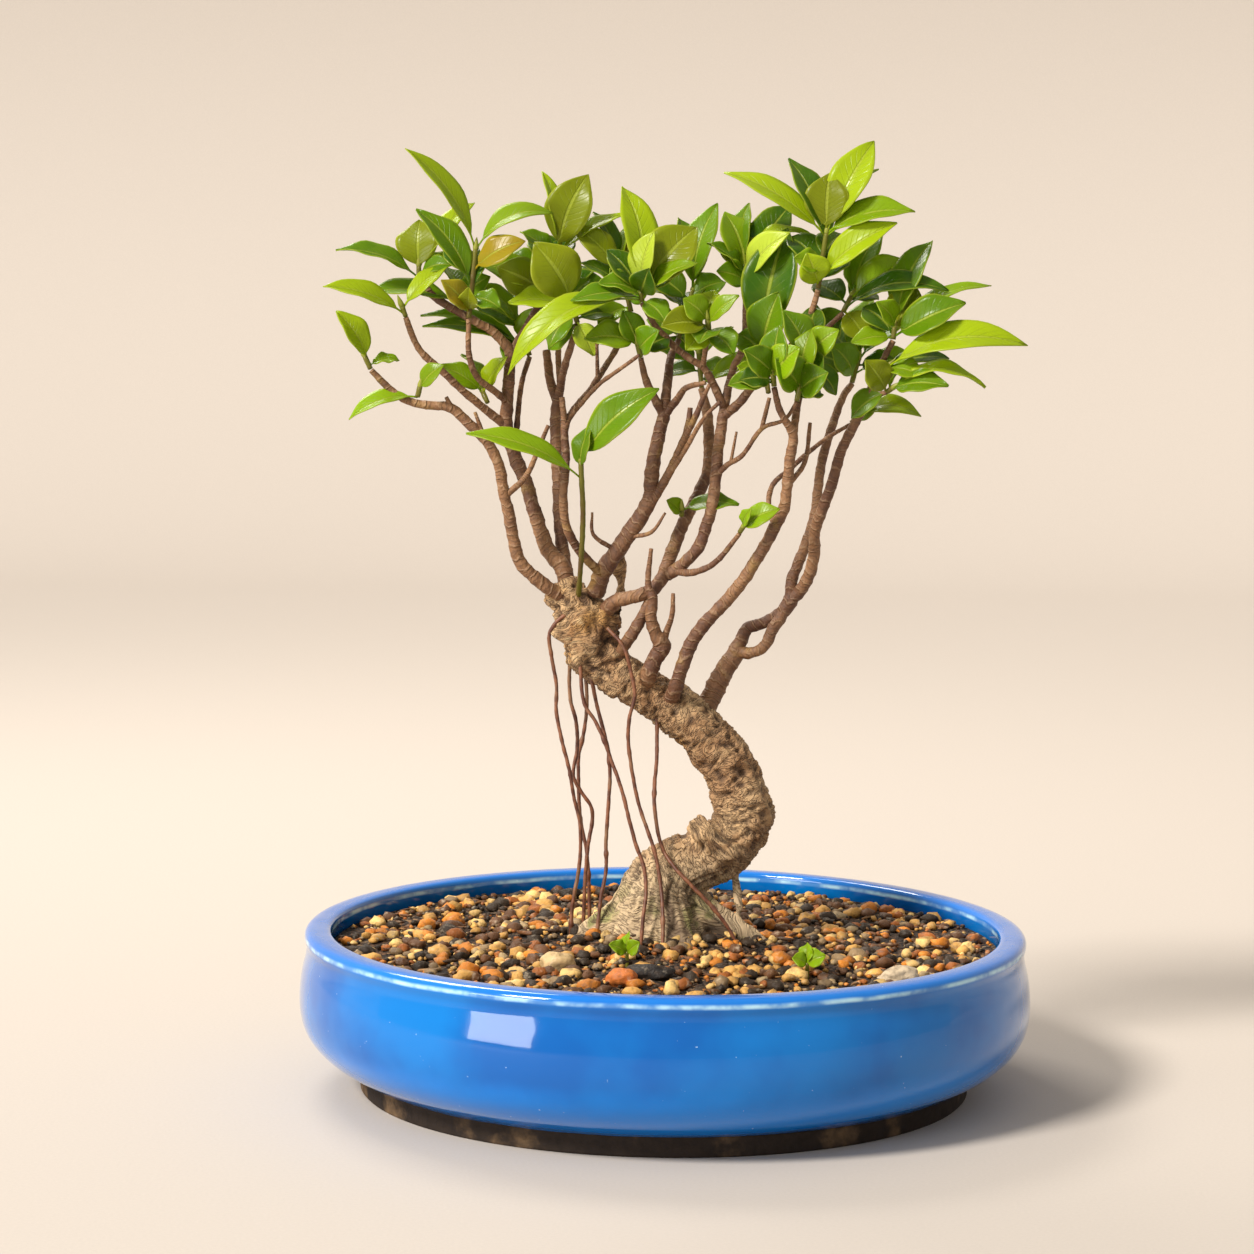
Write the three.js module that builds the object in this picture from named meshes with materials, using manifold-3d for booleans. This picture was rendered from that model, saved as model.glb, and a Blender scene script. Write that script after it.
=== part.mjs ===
// Bonsai tree in a pot: a small-leaf fig with an S-shaped trunk in a round, shallow, glazed pot.
// Millimetres, +Z up, front towards -Y. The origin is on the pot's axis, in its standing plane.
import * as THREE from "three";
import { mergeVertices } from "three/addons/utils/BufferGeometryUtils.js";
import Module from "manifold-3d";

const wasm = await Module();
wasm.setup();

// ---------------------------------------------------------------- driving dimensions

const clearance = 0.3; // gap between neighbouring pieces
const sliver = 0.03; // details smaller than this are smoothed away

const potRadius = 150; // at the belly, the pot's widest place
const potHeight = 66;
const potWall = 8;
const potFloor = 8;
const bellyHeight = 38;
const rimInset = 2.5; // the rim's radius is this much less than the belly's
const rimWidth = 10.5;
const lipHeight = 7; // the rolled edge under the rim
const footInset = 25;
const footHeight = 8.5;
const footWidth = 18;
const footRecess = 4;
const drainRadius = 11;

const screenSide = 34; // square plastic mesh over the drainage hole
const screenThickness = 1.2;
const screenBar = 1.6;
const screenCells = 4;
const clipWire = 0.7; // radius of the wire that holds the screen

const soilDrop = 8; // below the rim, at the pot's wall
const soilMound = 8; // rise of the soil round the trunk
const moundRadius = 62;

const treeHeight = 320; // from the soil to the crown's top
const trunkGirth = 1; // thickness of trunk and branches against the radii given below
const rootRadius = 0.75; // aerial roots

const leafThickness = 0.9;
const leafArch = 0.13; // bow of a leaf, as a share of its length
const leafFold = 0.24; // rise of a blade's edges, as a share of its half width
const stalkRadius = 0.65;
const budLength = 5;

// ---------------------------------------------------------------- solids and meshes

// A closed geometry as a solid that can be joined and cut.
function solidOf(geometry) {
  const bare = geometry.clone();
  bare.deleteAttribute("normal");
  bare.deleteAttribute("uv");
  const welded = mergeVertices(bare, 1e-4);
  const corners = welded.index.array;
  const kept = [];
  for (let i = 0; i < corners.length; i += 3) {
    const [a, b, c] = corners.slice(i, i + 3);
    if (a !== b && b !== c && c !== a) kept.push(a, b, c);
  }
  return new wasm.Manifold(
    new wasm.Mesh({
      numProp: 3,
      vertProperties: welded.attributes.position.array,
      triVerts: new Uint32Array(kept),
    }),
  );
}

function geometryOf(solid) {
  const { vertProperties, triVerts } = solid.getMesh();
  const geometry = new THREE.BufferGeometry();
  geometry.setAttribute("position", new THREE.BufferAttribute(vertProperties, 3));
  geometry.setIndex(new THREE.BufferAttribute(triVerts, 1));
  geometry.computeVertexNormals();
  return geometry;
}

// What stays when a cut has freed a crumb: the largest body, without its slivers.
function mainBody(solid) {
  const bodies = solid.simplify(sliver).decompose();
  return bodies.sort((a, b) => b.volume() - a.volume())[0];
}

const bonsai = new THREE.Group();

function addMesh(name, solid, material) {
  const mesh = new THREE.Mesh(geometryOf(solid), material);
  mesh.name = name;
  bonsai.add(mesh);
}

const look = (color, roughness) =>
  new THREE.MeshStandardMaterial({ color, roughness, metalness: 0 });
const glaze = look(0x0a63c4, 0.15);
const earth = look(0x5a4a3a, 0.95);
const plastic = look(0x202020, 0.6);
const wire = look(0x8a8d90, 0.4);
const bark = look(0x7a5038, 0.8);
const rootBark = look(0x8a4a30, 0.75);
const leafGreen = look(0x7f9b12, 0.35);
const seedlingGreen = look(0x86b030, 0.5);
const tanStone = look(0xb59872, 0.8);
const orangeStone = look(0xb06a38, 0.8);
const paleStone = look(0xcdc5b4, 0.8);
const blackBark = look(0x1f1a17, 0.9);

// A cylinder bent into shape: `place` gives the point for a ring and a place on its circle.
function bentCylinder(sides, rings, place) {
  const geometry = new THREE.CylinderGeometry(1, 1, rings, sides, rings);
  const position = geometry.attributes.position;
  for (let i = 0; i < position.count; i++) {
    const ring = Math.round(position.getY(i) + rings / 2);
    const point = place(ring, position.getX(i), position.getZ(i));
    position.setXYZ(i, point.x, point.y, point.z);
  }
  return solidOf(geometry);
}

// A tube through its points, with a radius at each; `extra` makes it longer at both ends.
function tube(points, radii, sides, extra = 0) {
  const last = points.length - 1;
  const tangents = points.map((point, i) => {
    const before = points[Math.max(i - 1, 0)];
    return points[Math.min(i + 1, last)].clone().sub(before).normalize();
  });
  const normals = [];
  for (const tangent of tangents) {
    const sideways = Math.abs(tangents[0].x) > 0.8 ? [0, 1, 0] : [1, 0, 0];
    const before = normals.at(-1) ?? new THREE.Vector3(...sideways);
    normals.push(before.clone().addScaledVector(tangent, -before.dot(tangent)).normalize());
  }
  return bentCylinder(sides, last, (ring, across, outward) => {
    const binormal = new THREE.Vector3().crossVectors(normals[ring], tangents[ring]);
    const overrun = ring === 0 ? -extra : ring === last ? extra : 0;
    return points[ring]
      .clone()
      .addScaledVector(tangents[ring], overrun)
      .addScaledVector(normals[ring], across * radii[ring])
      .addScaledVector(binormal, outward * radii[ring]);
  });
}

function boxSolid(width, depth, height, x, y, z) {
  const box = new THREE.BoxGeometry(width, depth, height);
  box.translate(x, y, z);
  return solidOf(box);
}

// ---------------------------------------------------------------- pot

const rimRadius = potRadius - rimInset;
const rimInside = rimRadius - rimWidth;
const footRadius = potRadius - footInset;
const innerRadius = potRadius - potWall;
const floorTop = footRecess + potFloor;
const bowlCurve = 30; // how far in from the wall the floor starts to curve up

function arc(centreX, centreY, radiusX, radiusY, from, to, steps) {
  const start = THREE.MathUtils.degToRad(from);
  const end = THREE.MathUtils.degToRad(to);
  return new THREE.EllipseCurve(centreX, centreY, radiusX, radiusY, start, end).getPoints(steps);
}

// The inside of the pot from the middle of its floor up to the belly, `inset` clear of it.
function hollowOutline(inset) {
  const low = floorTop + inset;
  const wide = bowlCurve - inset;
  return [
    new THREE.Vector2(0, low),
    ...arc(innerRadius - bowlCurve, bellyHeight, wide, bellyHeight - low, 270, 360, 3),
  ];
}

function turned(outline) {
  const geometry = new THREE.LatheGeometry(outline, 32);
  geometry.rotateX(Math.PI / 2);
  return geometry;
}

function potSolid() {
  const shoulder = rimRadius - 0.5;
  const lipBase = potHeight - lipHeight;
  const outline = [
    new THREE.Vector2(0, footRecess),
    new THREE.Vector2(footRadius - footWidth, footRecess),
    new THREE.Vector2(footRadius - footWidth, 0),
    new THREE.Vector2(footRadius, 0),
    ...arc(footRadius, bellyHeight, footInset, bellyHeight - footHeight, 272, 360, 4),
    ...arc(shoulder, bellyHeight, potRadius - shoulder, lipBase - bellyHeight, 40, 90, 2),
    ...arc(rimRadius - 3, potHeight - 3.5, 3.3, 3.5, 0, 90, 2),
    ...arc(rimInside + 2, potHeight - 2, 2, 2, 90, 180, 2),
    ...hollowOutline(0).reverse(),
  ];
  const drain = new THREE.CylinderGeometry(drainRadius, drainRadius, potHeight, 20);
  drain.rotateX(Math.PI / 2);
  return solidOf(turned(outline)).subtract(solidOf(drain));
}

addMesh("pot", potSolid(), glaze);

// ---------------------------------------------------------------- drainage screen and its clip

const screenMiddle = floorTop + clearance + screenThickness / 2;
const screenCell = (screenSide - screenBar) / screenCells;

function screenSolid() {
  let sheet = boxSolid(screenSide, screenSide, screenThickness, 0, 0, screenMiddle);
  const opening = screenCell - screenBar;
  const middle = (screenCells - 1) / 2;
  for (let row = 0; row < screenCells; row++) {
    for (let column = 0; column < screenCells; column++) {
      const x = (column - middle) * screenCell;
      const y = (row - middle) * screenCell;
      sheet = sheet.subtract(boxSolid(opening, opening, screenThickness * 3, x, y, screenMiddle));
    }
  }
  return sheet;
}

addMesh("drainage_screen", screenSolid(), plastic);

// A wire staple through two cells of the screen and the hole, its ends bent out under the floor.
function clipSolid(extra) {
  const top = floorTop + clearance * 2 + screenThickness + clipWire;
  const bottom = footRecess - clearance - clipWire;
  const leg = screenCell / 2;
  const half = [
    [leg - 1, top],
    [leg, top - 1],
    [leg, bottom + 1],
    [leg + 1, bottom],
    [drainRadius + 8, bottom],
  ];
  const mirrored = half.map(([x, z]) => [-x, z]).reverse();
  const points = [...mirrored, ...half].map(([x, z]) => new THREE.Vector3(x, leg, z));
  return tube(points, points.map(() => clipWire + extra), 6, extra);
}

addMesh("screen_clip", clipSolid(0), wire);

// ---------------------------------------------------------------- stems

// Points of the tree are given as [x, y, z, radius], for a tree 320 high over soil at 66. They
// are scaled about the collar, where the trunk leaves the soil.
const drawnHeight = 320;
const drawnCollar = 66;
const collar = potHeight;
const growth = treeHeight / drawnHeight;

function treePoint([x, y, z]) {
  return new THREE.Vector3(x * growth, y * growth, collar + (z - drawnCollar) * growth);
}

// A stem through its points, with `between` more points in each stretch to round its bends.
function stem(points, { sides = 5, between = 0, extra = 0 } = {}) {
  const curve = new THREE.CatmullRomCurve3(points.map(treePoint), false, "centripetal");
  const steps = (points.length - 1) * (between + 1);
  const centres = curve.getPoints(steps);
  const radii = centres.map((centre, i) => {
    const place = i / (between + 1);
    const before = Math.floor(place);
    const next = Math.min(before + 1, points.length - 1);
    const radius = THREE.MathUtils.lerp(points[before][3], points[next][3], place - before);
    return radius * trunkGirth * growth + extra;
  });
  return tube(centres, radii, sides, extra);
}

function joined(solids) {
  return wasm.Manifold.union(solids);
}

// Each plant piece is cut clear of those before it. Their fattened copies are kept for that.
const fattened = [];

function addPlantPiece(name, build, material) {
  const body = wasm.Manifold.difference([build(0), ...fattened]);
  fattened.push(build(clearance));
  addMesh(name, mainBody(body), material);
}

// ---------------------------------------------------------------- trunk

const trunkLine = [
  [-4, 1, 42, 14], [-4, 0, 52, 21], [-4, 0, 62, 22.5], [-3, 0, 72, 19.5], [-1, 0, 83, 15.5],
  [7, 0, 91, 13], [19, 0, 96, 12], [29.5, 0, 105.5, 11.5], [32, 0, 114, 11.5],
  [27.5, 0, 127.5, 11], [18.5, 0, 141, 10.5], [6, 0, 153, 10], [-10, 0, 164, 9],
  [-22, 0, 172, 9.5], [-32, 0, 181, 11.5], [-33.5, 0, 189, 12], [-38, 0, 198, 9.5],
  [-43, 0, 205, 7], [-44, 0, 208, 5],
];

const surfaceRoots = [
  [[0, -6, 76, 9], [4, -20, 67, 7], [8, -34, 60, 5], [11, -46, 52, 2.5]],
  [[6, 0, 77, 9], [22, -4, 68, 7], [36, -8, 60, 5], [48, -12, 52, 2.5]],
  [[-12, -2, 74, 8], [-26, -5, 66, 6], [-38, -9, 58, 4.5], [-50, -12, 50, 2]],
  [[-6, 8, 76, 9], [-10, 24, 67, 7], [-14, 36, 59, 5], [-18, 48, 51, 2.5]],
  [[4, 6, 76, 8], [18, 20, 66, 6], [28, 32, 58, 4], [36, 42, 51, 2]],
  [[27, 0, 100, 1.6], [28, -2, 92, 1.3], [29, -3, 84, 1.2], [30, -4, 75, 1.2], [31, -5, 57, 1]],
];

const trunkDetails = [
  [[11, -7, 110, 4], [17, -11, 105, 5], [25, -10.5, 99.5, 5], [31, -6, 94, 4]], // root over the bend
  [[-30, -4, 184, 5], [-41, -5, 187, 5.5], [-45, -3, 192, 3.5]], // knobs on the head
  [[-24, 3, 184, 3.5], [-20.5, 5, 196, 3], [-20.3, 5, 206, 2.6], [-21, 4, 214, 2.6], [-20.3, 3, 219, 2]],
];

function trunkSolid(extra) {
  const trunk = stem(trunkLine, { sides: 9, between: 1, extra });
  const others = [...surfaceRoots, ...trunkDetails].map((line) => stem(line, { sides: 5, extra }));
  return joined([trunk, ...others]);
}

addPlantPiece("trunk", trunkSolid, bark);

// ---------------------------------------------------------------- branches

// Each branch is its main line and the twigs that leave it. A twig starts inside its parent.
const branches = {
  far_left: [
    [
      [-41, -1, 201, 3], [-47, -4, 204, 2.9], [-53, -6, 208.5, 2.8], [-60.5, -8, 216, 2.6],
      [-63.5, -9, 226, 2.5], [-65, -10, 235, 2.4], [-67, -11, 243, 2.3], [-69.5, -12, 256, 2.2],
      [-74, -13, 265, 2.1], [-80.6, -14, 271.5, 2], [-89.5, -15, 279, 1.9], [-96, -16, 279.5, 1.7],
      [-106, -16, 281.3, 1.6], [-113, -17, 286, 1.4], [-120.5, -18, 293.5, 1.2],
    ],
    [[-67, -11, 243, 1.4], [-58.5, -12, 251, 1.2], [-54, -13, 261, 1.1], [-49.5, -14, 272, 0.8]],
    [[-75, -13, 266, 1.1], [-79, -15, 277, 0.7]],
    [[-88, -15, 278, 1.2], [-90.5, -16, 283, 0.8]],
  ],
  left: [
    [
      [-40, 3, 202, 3.6], [-44, 4, 213.5, 3.4], [-50, 5, 220.5, 3.2], [-53, 6, 228, 3],
      [-56, 7, 237, 2.9], [-59.5, 8, 248.5, 2.8], [-63, 8, 256, 2.7], [-66, 9, 264.5, 2.6],
      [-67.5, 9, 272, 2.6], [-67, 8, 281, 2.5], [-66.5, 7, 291, 2.4], [-66, 6, 300.5, 2.2],
      [-72.5, 5, 308.5, 1.8], [-80, 3, 313, 1.7], [-91.5, 2, 319.5, 1.6], [-97, 2, 323, 1.5],
      [-103, 2, 330, 1.2],
    ],
    [[-66, 6, 299, 2], [-59.5, 8, 311, 1.6], [-53, 10, 323, 1.3]],
    [
      [-67.5, 9, 271, 2], [-73, 6, 275, 1.7], [-80, 2, 281, 1.6], [-87.5, -1, 287.5, 1.5],
      [-92, -3, 292, 1.5], [-101.3, -5, 300.5, 1.4], [-104, -6, 305, 1.3], [-107.5, -8, 314.5, 1.2],
    ],
    [[-106, -7, 310, 1], [-108.7, -7, 319, 0.5]],
    [
      [-67, 8, 280, 1.5], [-71, 3, 284, 1.4], [-79, -4, 291, 1.3], [-82, -7, 300, 1.2],
      [-82, -8, 314, 1],
    ],
    [[-64, 8, 259, 1.3], [-63, 12, 273.5, 1.2], [-61.5, 15, 288, 1.1], [-58.5, 18, 298.5, 1]],
  ],
  upright: [
    [
      [-41, 5, 203, 2.8], [-43.3, 9, 216.5, 2.6], [-44.7, 11, 224.5, 2.5], [-45.8, 14, 237, 2.5],
      [-46.3, 17, 249, 2.4], [-47.4, 20, 263, 2.4], [-47.8, 22, 273.5, 2.3], [-47, 23, 280.5, 2.2],
      [-45.7, 21, 287, 1.6], [-44.3, 16, 293.5, 1.5], [-41.4, 8, 303, 1.4], [-38.5, 0, 312.5, 1.1],
    ],
    [[-47, 23, 280, 2], [-50, 25, 288, 1.9], [-52, 28, 301, 1.7]],
    [[-46, 22, 286, 1.3], [-47, 26, 299.5, 1.2], [-46.3, 28, 312, 1]],
  ],
  centre: [
    [
      [-30, -2, 203, 3.8], [-26.5, -6, 213.5, 3.6], [-21, -8, 221.5, 3.5], [-16, -10, 229.5, 3.3],
      [-11.5, -12, 236, 3.2], [-8, -13, 244, 3.1], [-7.8, -13, 250.5, 3], [-6.5, -12, 261, 2.8],
      [-4.5, -11, 270, 2.7], [-3, -10, 276.5, 2.5], [-2.4, -8, 284, 2], [-1.5, -4, 291.5, 1.8],
      [-0.4, 2, 300, 1.5], [2.4, 8, 306, 1.2],
    ],
    [[-3, -10, 276, 1.9], [-6.8, -12, 283, 1.7], [-10.4, -14, 290.5, 1.5], [-12.6, -15, 299.5, 1.1]],
    [[-3, -10, 276, 1.8], [2.7, -12, 283.5, 1.5], [5.5, -14, 287.5, 1.3], [13.5, -18, 290, 0.9]],
    [
      [-8.5, -13, 240, 2], [-2.3, -16, 250.5, 1.8], [2, -18, 259.5, 1.7], [5, -20, 267, 1.6],
      [9.8, -24, 277, 1.2], [12.7, -26, 284.5, 1], [15, -28, 289.5, 0.8],
    ],
    [[5, -20, 266, 1.4], [7, -21, 275, 1.3], [7.5, -20.5, 280, 1.1]],
    [
      [-2, -16, 251, 1.2], [5, -22, 262, 1], [10.6, -27, 272.5, 0.9], [14.3, -30, 278, 0.8],
      [19.3, -32, 283, 0.8],
    ],
    [[-21, -8, 221, 1.1], [-31, -11, 228, 0.8], [-31.5, -12, 237, 0.5]],
    [[-17, -10, 227, 1.1], [-7.5, -15, 229.5, 0.8], [-2, -17, 237.5, 0.5]],
  ],
  yellow: [
    [
      [-28, -7, 212, 1.9], [-37, -12, 222, 1.8], [-42, -16, 232.5, 1.7], [-43, -18, 245, 1.7],
      [-42, -18, 258.5, 1.6], [-42.6, -17, 272, 1.6], [-39, -14, 278.5, 1.5], [-32.5, -8, 286.5, 1.4],
      [-29.5, -4, 291.5, 1.3], [-26, 2, 297, 1.3], [-22, 6, 304, 1.2], [-17, 10, 317, 1.1],
    ],
    [[-42.6, -17, 270, 1.4], [-44, -18, 283.5, 1.1]],
    [[-38, -13, 279, 1.1], [-29, -20, 289, 0.9], [-21, -25, 295, 0.8], [-13, -30, 301, 0.7]],
    [[-30, -5, 290, 0.9], [-30.5, -9, 309, 0.6]],
  ],
  right_of_centre: [
    [
      [-27, -4, 196, 3], [-21, -8, 201, 2.9], [-14, -10, 203, 2.8], [-7, -10, 205.5, 2.8],
      [-3.3, -9, 210, 2.7], [-0.7, -7, 217, 2.7], [2, -4, 224, 2.6], [6.3, 0, 234, 2.6],
      [11, 4, 243, 2.5], [15, 8, 252.5, 2.4], [15.7, 12, 262.5, 2.3], [15, 16, 272.5, 2.2],
      [14, 19, 280, 1.8], [12.3, 22, 286, 1.4],
    ],
    [[-20, -5, 178, 2.5], [-18.5, -8, 182, 2.4], [-14.3, -10, 188.5, 2.4], [-10, -10, 196.5, 2.3],
      [-6.5, -10, 204, 2.2]],
  ],
  tall_right: [
    [
      [-1, -9, 211.5, 2.5], [6, -12, 217, 2.4], [11.5, -13, 223.5, 2.4], [15, -14, 233.5, 2.4],
      [17.3, -14, 244, 2.3], [18.3, -13, 253, 2.3], [19, -12, 262.5, 2.2], [20, -10, 271, 2.2],
      [20.8, -9, 277, 2.1], [23, -6, 288.5, 1.6], [25, -4, 296, 1.5], [28, -3, 302, 1.5],
      [29.5, -2, 310.5, 1.4], [29.5, -1, 320, 1.3], [29.5, 0, 329.5, 1.1],
    ],
    [
      [21, -9, 280, 1.8], [17, -9, 288.5, 1.6], [12.5, -10, 296, 1.5], [7.5, -11, 299, 1.4],
      [1, -12, 304, 1.4], [-3.5, -12, 308.5, 1.3], [-8, -13, 314, 1.2], [-12.3, -14, 321.5, 1.1],
    ],
    [[12.5, -10, 296, 1.2], [13.5, -14, 304.5, 1], [14.7, -18, 309.5, 0.9]],
    [
      [20.6, -9, 276, 2], [27, -11, 281.5, 1.8], [33, -12, 289, 1.7], [39.5, -13, 294.5, 1.6],
      [44.5, -13, 299.5, 1.5], [48, -14, 305.5, 1.4], [52.3, -15, 312, 1.3], [56, -16, 320, 1.2],
      [58, -16, 327.5, 1.1],
    ],
    [[44, -13, 299, 1.4], [50, -10, 301.5, 1.3], [60, -6, 310, 1.1], [68.7, -3, 318, 1]],
    [
      [18, -13, 252, 1.3], [22.7, -16, 257, 1.1], [28.5, -20, 261, 1], [36.5, -25, 272.5, 0.9],
      [45, -28, 276, 0.8], [49.7, -30, 283, 0.8],
    ],
    [[24, -17, 258, 0.8], [26.2, -17, 270.5, 0.5]],
    [[36, -25, 272, 0.9], [39, -24, 284.5, 0.8]],
    [[1.5, -10, 213.5, 1.6], [9, -17, 213.5, 1.4], [18, -23, 218, 1.2], [27.8, -29, 230.5, 0.9]],
  ],
  right: [
    [
      [0, -4, 159, 3.2], [3, -11, 166, 3], [5.3, -13, 174, 2.8], [9, -14, 184.5, 2.8],
      [14.3, -16, 192.5, 2.7], [21.3, -18, 200.5, 2.6], [30, -20, 211.5, 2.5], [36, -22, 221.5, 2.5],
      [42, -24, 233, 2.4], [45.5, -26, 241, 2.3], [46.5, -27, 250, 2.2], [47.5, -28, 260.5, 2.1],
      [48.5, -29, 270.5, 2], [45, -32, 276, 1.5], [42.5, -33, 281, 1.3], [40.5, -34, 289, 1.1],
    ],
    [[48.5, -29, 270, 1.7], [49.5, -25, 277.5, 1.6], [51.3, -24, 287.5, 1.4], [53.5, -24, 293, 1.2]],
    [[47, -27, 250, 1.2], [53.3, -24, 258.5, 1], [55.5, -20, 274.5, 0.8]],
    [
      [42, -24, 233, 1.3], [39.5, -18, 241, 1.1], [41, -14, 249, 1.1], [48.5, -10, 255.5, 1],
      [54, -6, 260.5, 1], [64, 0, 268, 0.9], [73, 4, 273, 0.8],
    ],
  ],
  far_right: [
    [
      [12, 4, 150, 4.6], [17.7, 7, 160, 4.3], [21.3, 7, 168, 4.1], [26, 7, 176, 3.9],
      [29.5, 8, 183, 2.8], [32, 9, 188.5, 2.4], [37.5, 9, 190.5, 2.4], [43.7, 8, 193.5, 2.6],
      [47.5, 7, 197, 3], [50, 7, 201.5, 3], [50, 8, 208, 2.4], [52.5, 10, 215, 2.3],
      [56, 12, 224, 2.2], [59.5, 15, 235.5, 2.1], [60.5, 18, 245, 2], [63, 22, 260.5, 1.9],
      [66.5, 25, 271.5, 1.8], [71, 29, 283.5, 1.5], [74.5, 31, 288.5, 1.3],
    ],
    [[28, 7, 179, 2.8], [34, 4, 179, 2.2], [39.5, 3, 182.5, 2.2], [42, 4, 188, 2.4], [47, 7, 196, 2.6]],
    [
      [50, 7, 201, 2.8], [53.7, 5, 205, 2.6], [57, 3, 211.5, 2.5], [58.8, 1, 220.5, 2.4],
      [58.8, -2, 229.5, 2.4], [61.5, -5, 238.5, 2.3], [65.5, -8, 250.5, 2.2], [68, -10, 261, 2.1],
      [71.5, -12, 269.5, 2], [75, -13, 276.5, 1.9], [79, -14, 284, 1.8], [81, -14, 292, 1.6],
      [88.5, -14, 307.5, 1.2],
    ],
    [[79, -14, 284, 1.2], [86, -17, 287, 0.9]],
  ],
  knobby: [
    [
      [-9, -4, 166, 3.6], [-8, -10, 171.5, 3.4], [-5.3, -11, 178, 3.2], [-2.7, -12, 183, 3.8],
      [-5.5, -14, 188.5, 2.6], [-7.3, -15, 195.5, 2.4], [-6.5, -16, 203, 2], [-8.5, -16, 208, 1.3],
      [-7.5, -17, 223, 0.8],
    ],
    [[-2.7, -12, 183, 1.8], [-1, -13, 189, 1.3], [1.2, -16, 196, 1.1], [1.5, -17, 205, 0.8]],
  ],
};

for (const [name, lines] of Object.entries(branches)) {
  addPlantPiece("branch_" + name, (extra) => joined(lines.map((line) => stem(line, { extra }))), bark);
}

// ---------------------------------------------------------------- aerial roots

// They hang from the trunk and from its bends into the soil, all of one thickness.
const aerialRoots = [
  [
    [-39.6, -6, 196], [-44.5, -7, 193], [-48.5, -7, 187], [-47.5, -6, 177], [-45.5, -6, 166],
    [-45.5, -6, 155.5], [-43, -7, 143], [-39.7, -8, 130.5], [-37.8, -8, 119.5], [-35.5, -8, 110.5],
    [-35, -8, 99.5], [-35.7, -8, 90], [-38, -8, 76], [-39, -8, 57],
  ],
  [
    [-40, 2, 182], [-40.5, 2, 169], [-40, 2, 159], [-37.5, 1, 150], [-37, 1, 138.5],
    [-38.5, 0, 128], [-35, 0, 121], [-31, 0, 115], [-30.5, 0, 109], [-32, -1, 100],
    [-33, -1, 88], [-34, -1, 57],
  ],
  [
    [-36, -8, 176], [-34, -10, 159], [-29.5, -11, 152], [-26, -12, 145], [-22.3, -13, 135],
    [-18.5, -15, 125], [-15, -17, 112], [-12.3, -18, 102.5], [-9, -20, 94], [-8, -23, 84],
    [-9, -27, 74], [-10, -30, 57],
  ],
  [
    [-35, 6, 175], [-33.5, 6, 163], [-33.5, 7, 154], [-34.5, 7, 145], [-36.5, 7, 135.5],
    [-36.5, 6, 126.5], [-35.5, 6, 108.5], [-33, 5, 97], [-32, 5, 87], [-31, 5, 57],
  ],
  [
    [-32.3, -3, 174], [-29.5, -4, 159.5], [-26.5, -5, 148.5], [-24, -5, 138], [-23.3, -5, 129],
    [-23.7, -6, 119.5], [-24.3, -6, 109], [-24.7, -6, 101], [-24.5, -7, 90], [-26.5, -9, 78.5],
    [-28.5, -12, 57],
  ],
  [
    [-25, -10, 190], [-18.5, -13.5, 183], [-15, -13.5, 172], [-13.5, -14, 163], [-15.5, -14, 154],
    [-16, -13, 145], [-14, -13, 130.5], [-11.5, -14, 119], [-8, -16, 109], [-4.5, -18, 99],
    [-2, -21, 86], [-1, -27, 74], [-1, -33, 57],
  ],
  [
    [-4.5, -3, 157], [-4.3, -8, 136], [-5, -9, 127], [-5, -11, 118], [-3.5, -12, 107],
    [-0.8, -14, 99], [3.8, -18, 93], [11, -21, 86], [20, -23, 77], [27.7, -24, 66], [30, -24, 57],
  ],
];

aerialRoots.forEach((points, number) => {
  const line = points.map((point) => [...point, rootRadius]);
  addPlantPiece(
    "aerial_root_" + (number + 1),
    (extra) => stem(line, { sides: 4, extra }),
    rootBark,
  );
});

// ---------------------------------------------------------------- leaves

// A leaf as shares of its length: where its sections are, and how wide they are against the
// blade. The first two are the stalk.
const leafSections = [
  [0, 0], [0.17, 0], [0.44, 1], [0.76, 0.76], [1, 0],
];

// A leaf from its foot, reaching as far as `reach`. `face` turns its upper side from up (0) to
// the front (90 degrees); `arch` is how far it bows towards that side.
function leaf(foot, reach, width, face, arch, extra) {
  const along = reach.clone().normalize();
  const front = new THREE.Vector3(0, -1, 0);
  front.addScaledVector(along, -front.dot(along)).normalize();
  const upward = new THREE.Vector3().crossVectors(front, along);
  if (upward.z < 0) upward.negate();
  const turn = THREE.MathUtils.degToRad(face);
  const normal = upward.multiplyScalar(Math.cos(turn)).addScaledVector(front, Math.sin(turn));
  const side = new THREE.Vector3().crossVectors(along, normal);
  const tip = foot.clone().add(reach);
  const crown = foot.clone().lerp(tip, 0.5).addScaledVector(normal, 2 * arch * reach.length());
  const midrib = new THREE.QuadraticBezierCurve3(foot, crown, tip);
  const last = leafSections.length - 1;
  return bentCylinder(4, last, (ring, across, outward) => {
    const [place, share] = leafSections[ring];
    const centre = midrib.getPoint(place);
    const tangent = midrib.getTangent(place);
    const rise = new THREE.Vector3().crossVectors(side, tangent);
    const half = share * (width / 2);
    const ends = ring === 0 ? stalkRadius : ring === last ? 0.35 : 0;
    const stalk = ring === 1 ? stalkRadius : ends;
    // The sharp edges need more room than the flat of the blade.
    const reachSideways = Math.max(half, stalk) + (half > 0 ? 3 : 1) * extra;
    const thick = (half > 0 ? leafThickness / 2 : stalk) + extra;
    const overrun = ring === last ? extra : 0;
    return centre
      .addScaledVector(tangent, overrun)
      .addScaledVector(side, across * reachSideways)
      .addScaledVector(rise, outward * thick + Math.abs(across) * leafFold * reachSideways);
  });
}

// ---------------------------------------------------------------- leafy shoots

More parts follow.
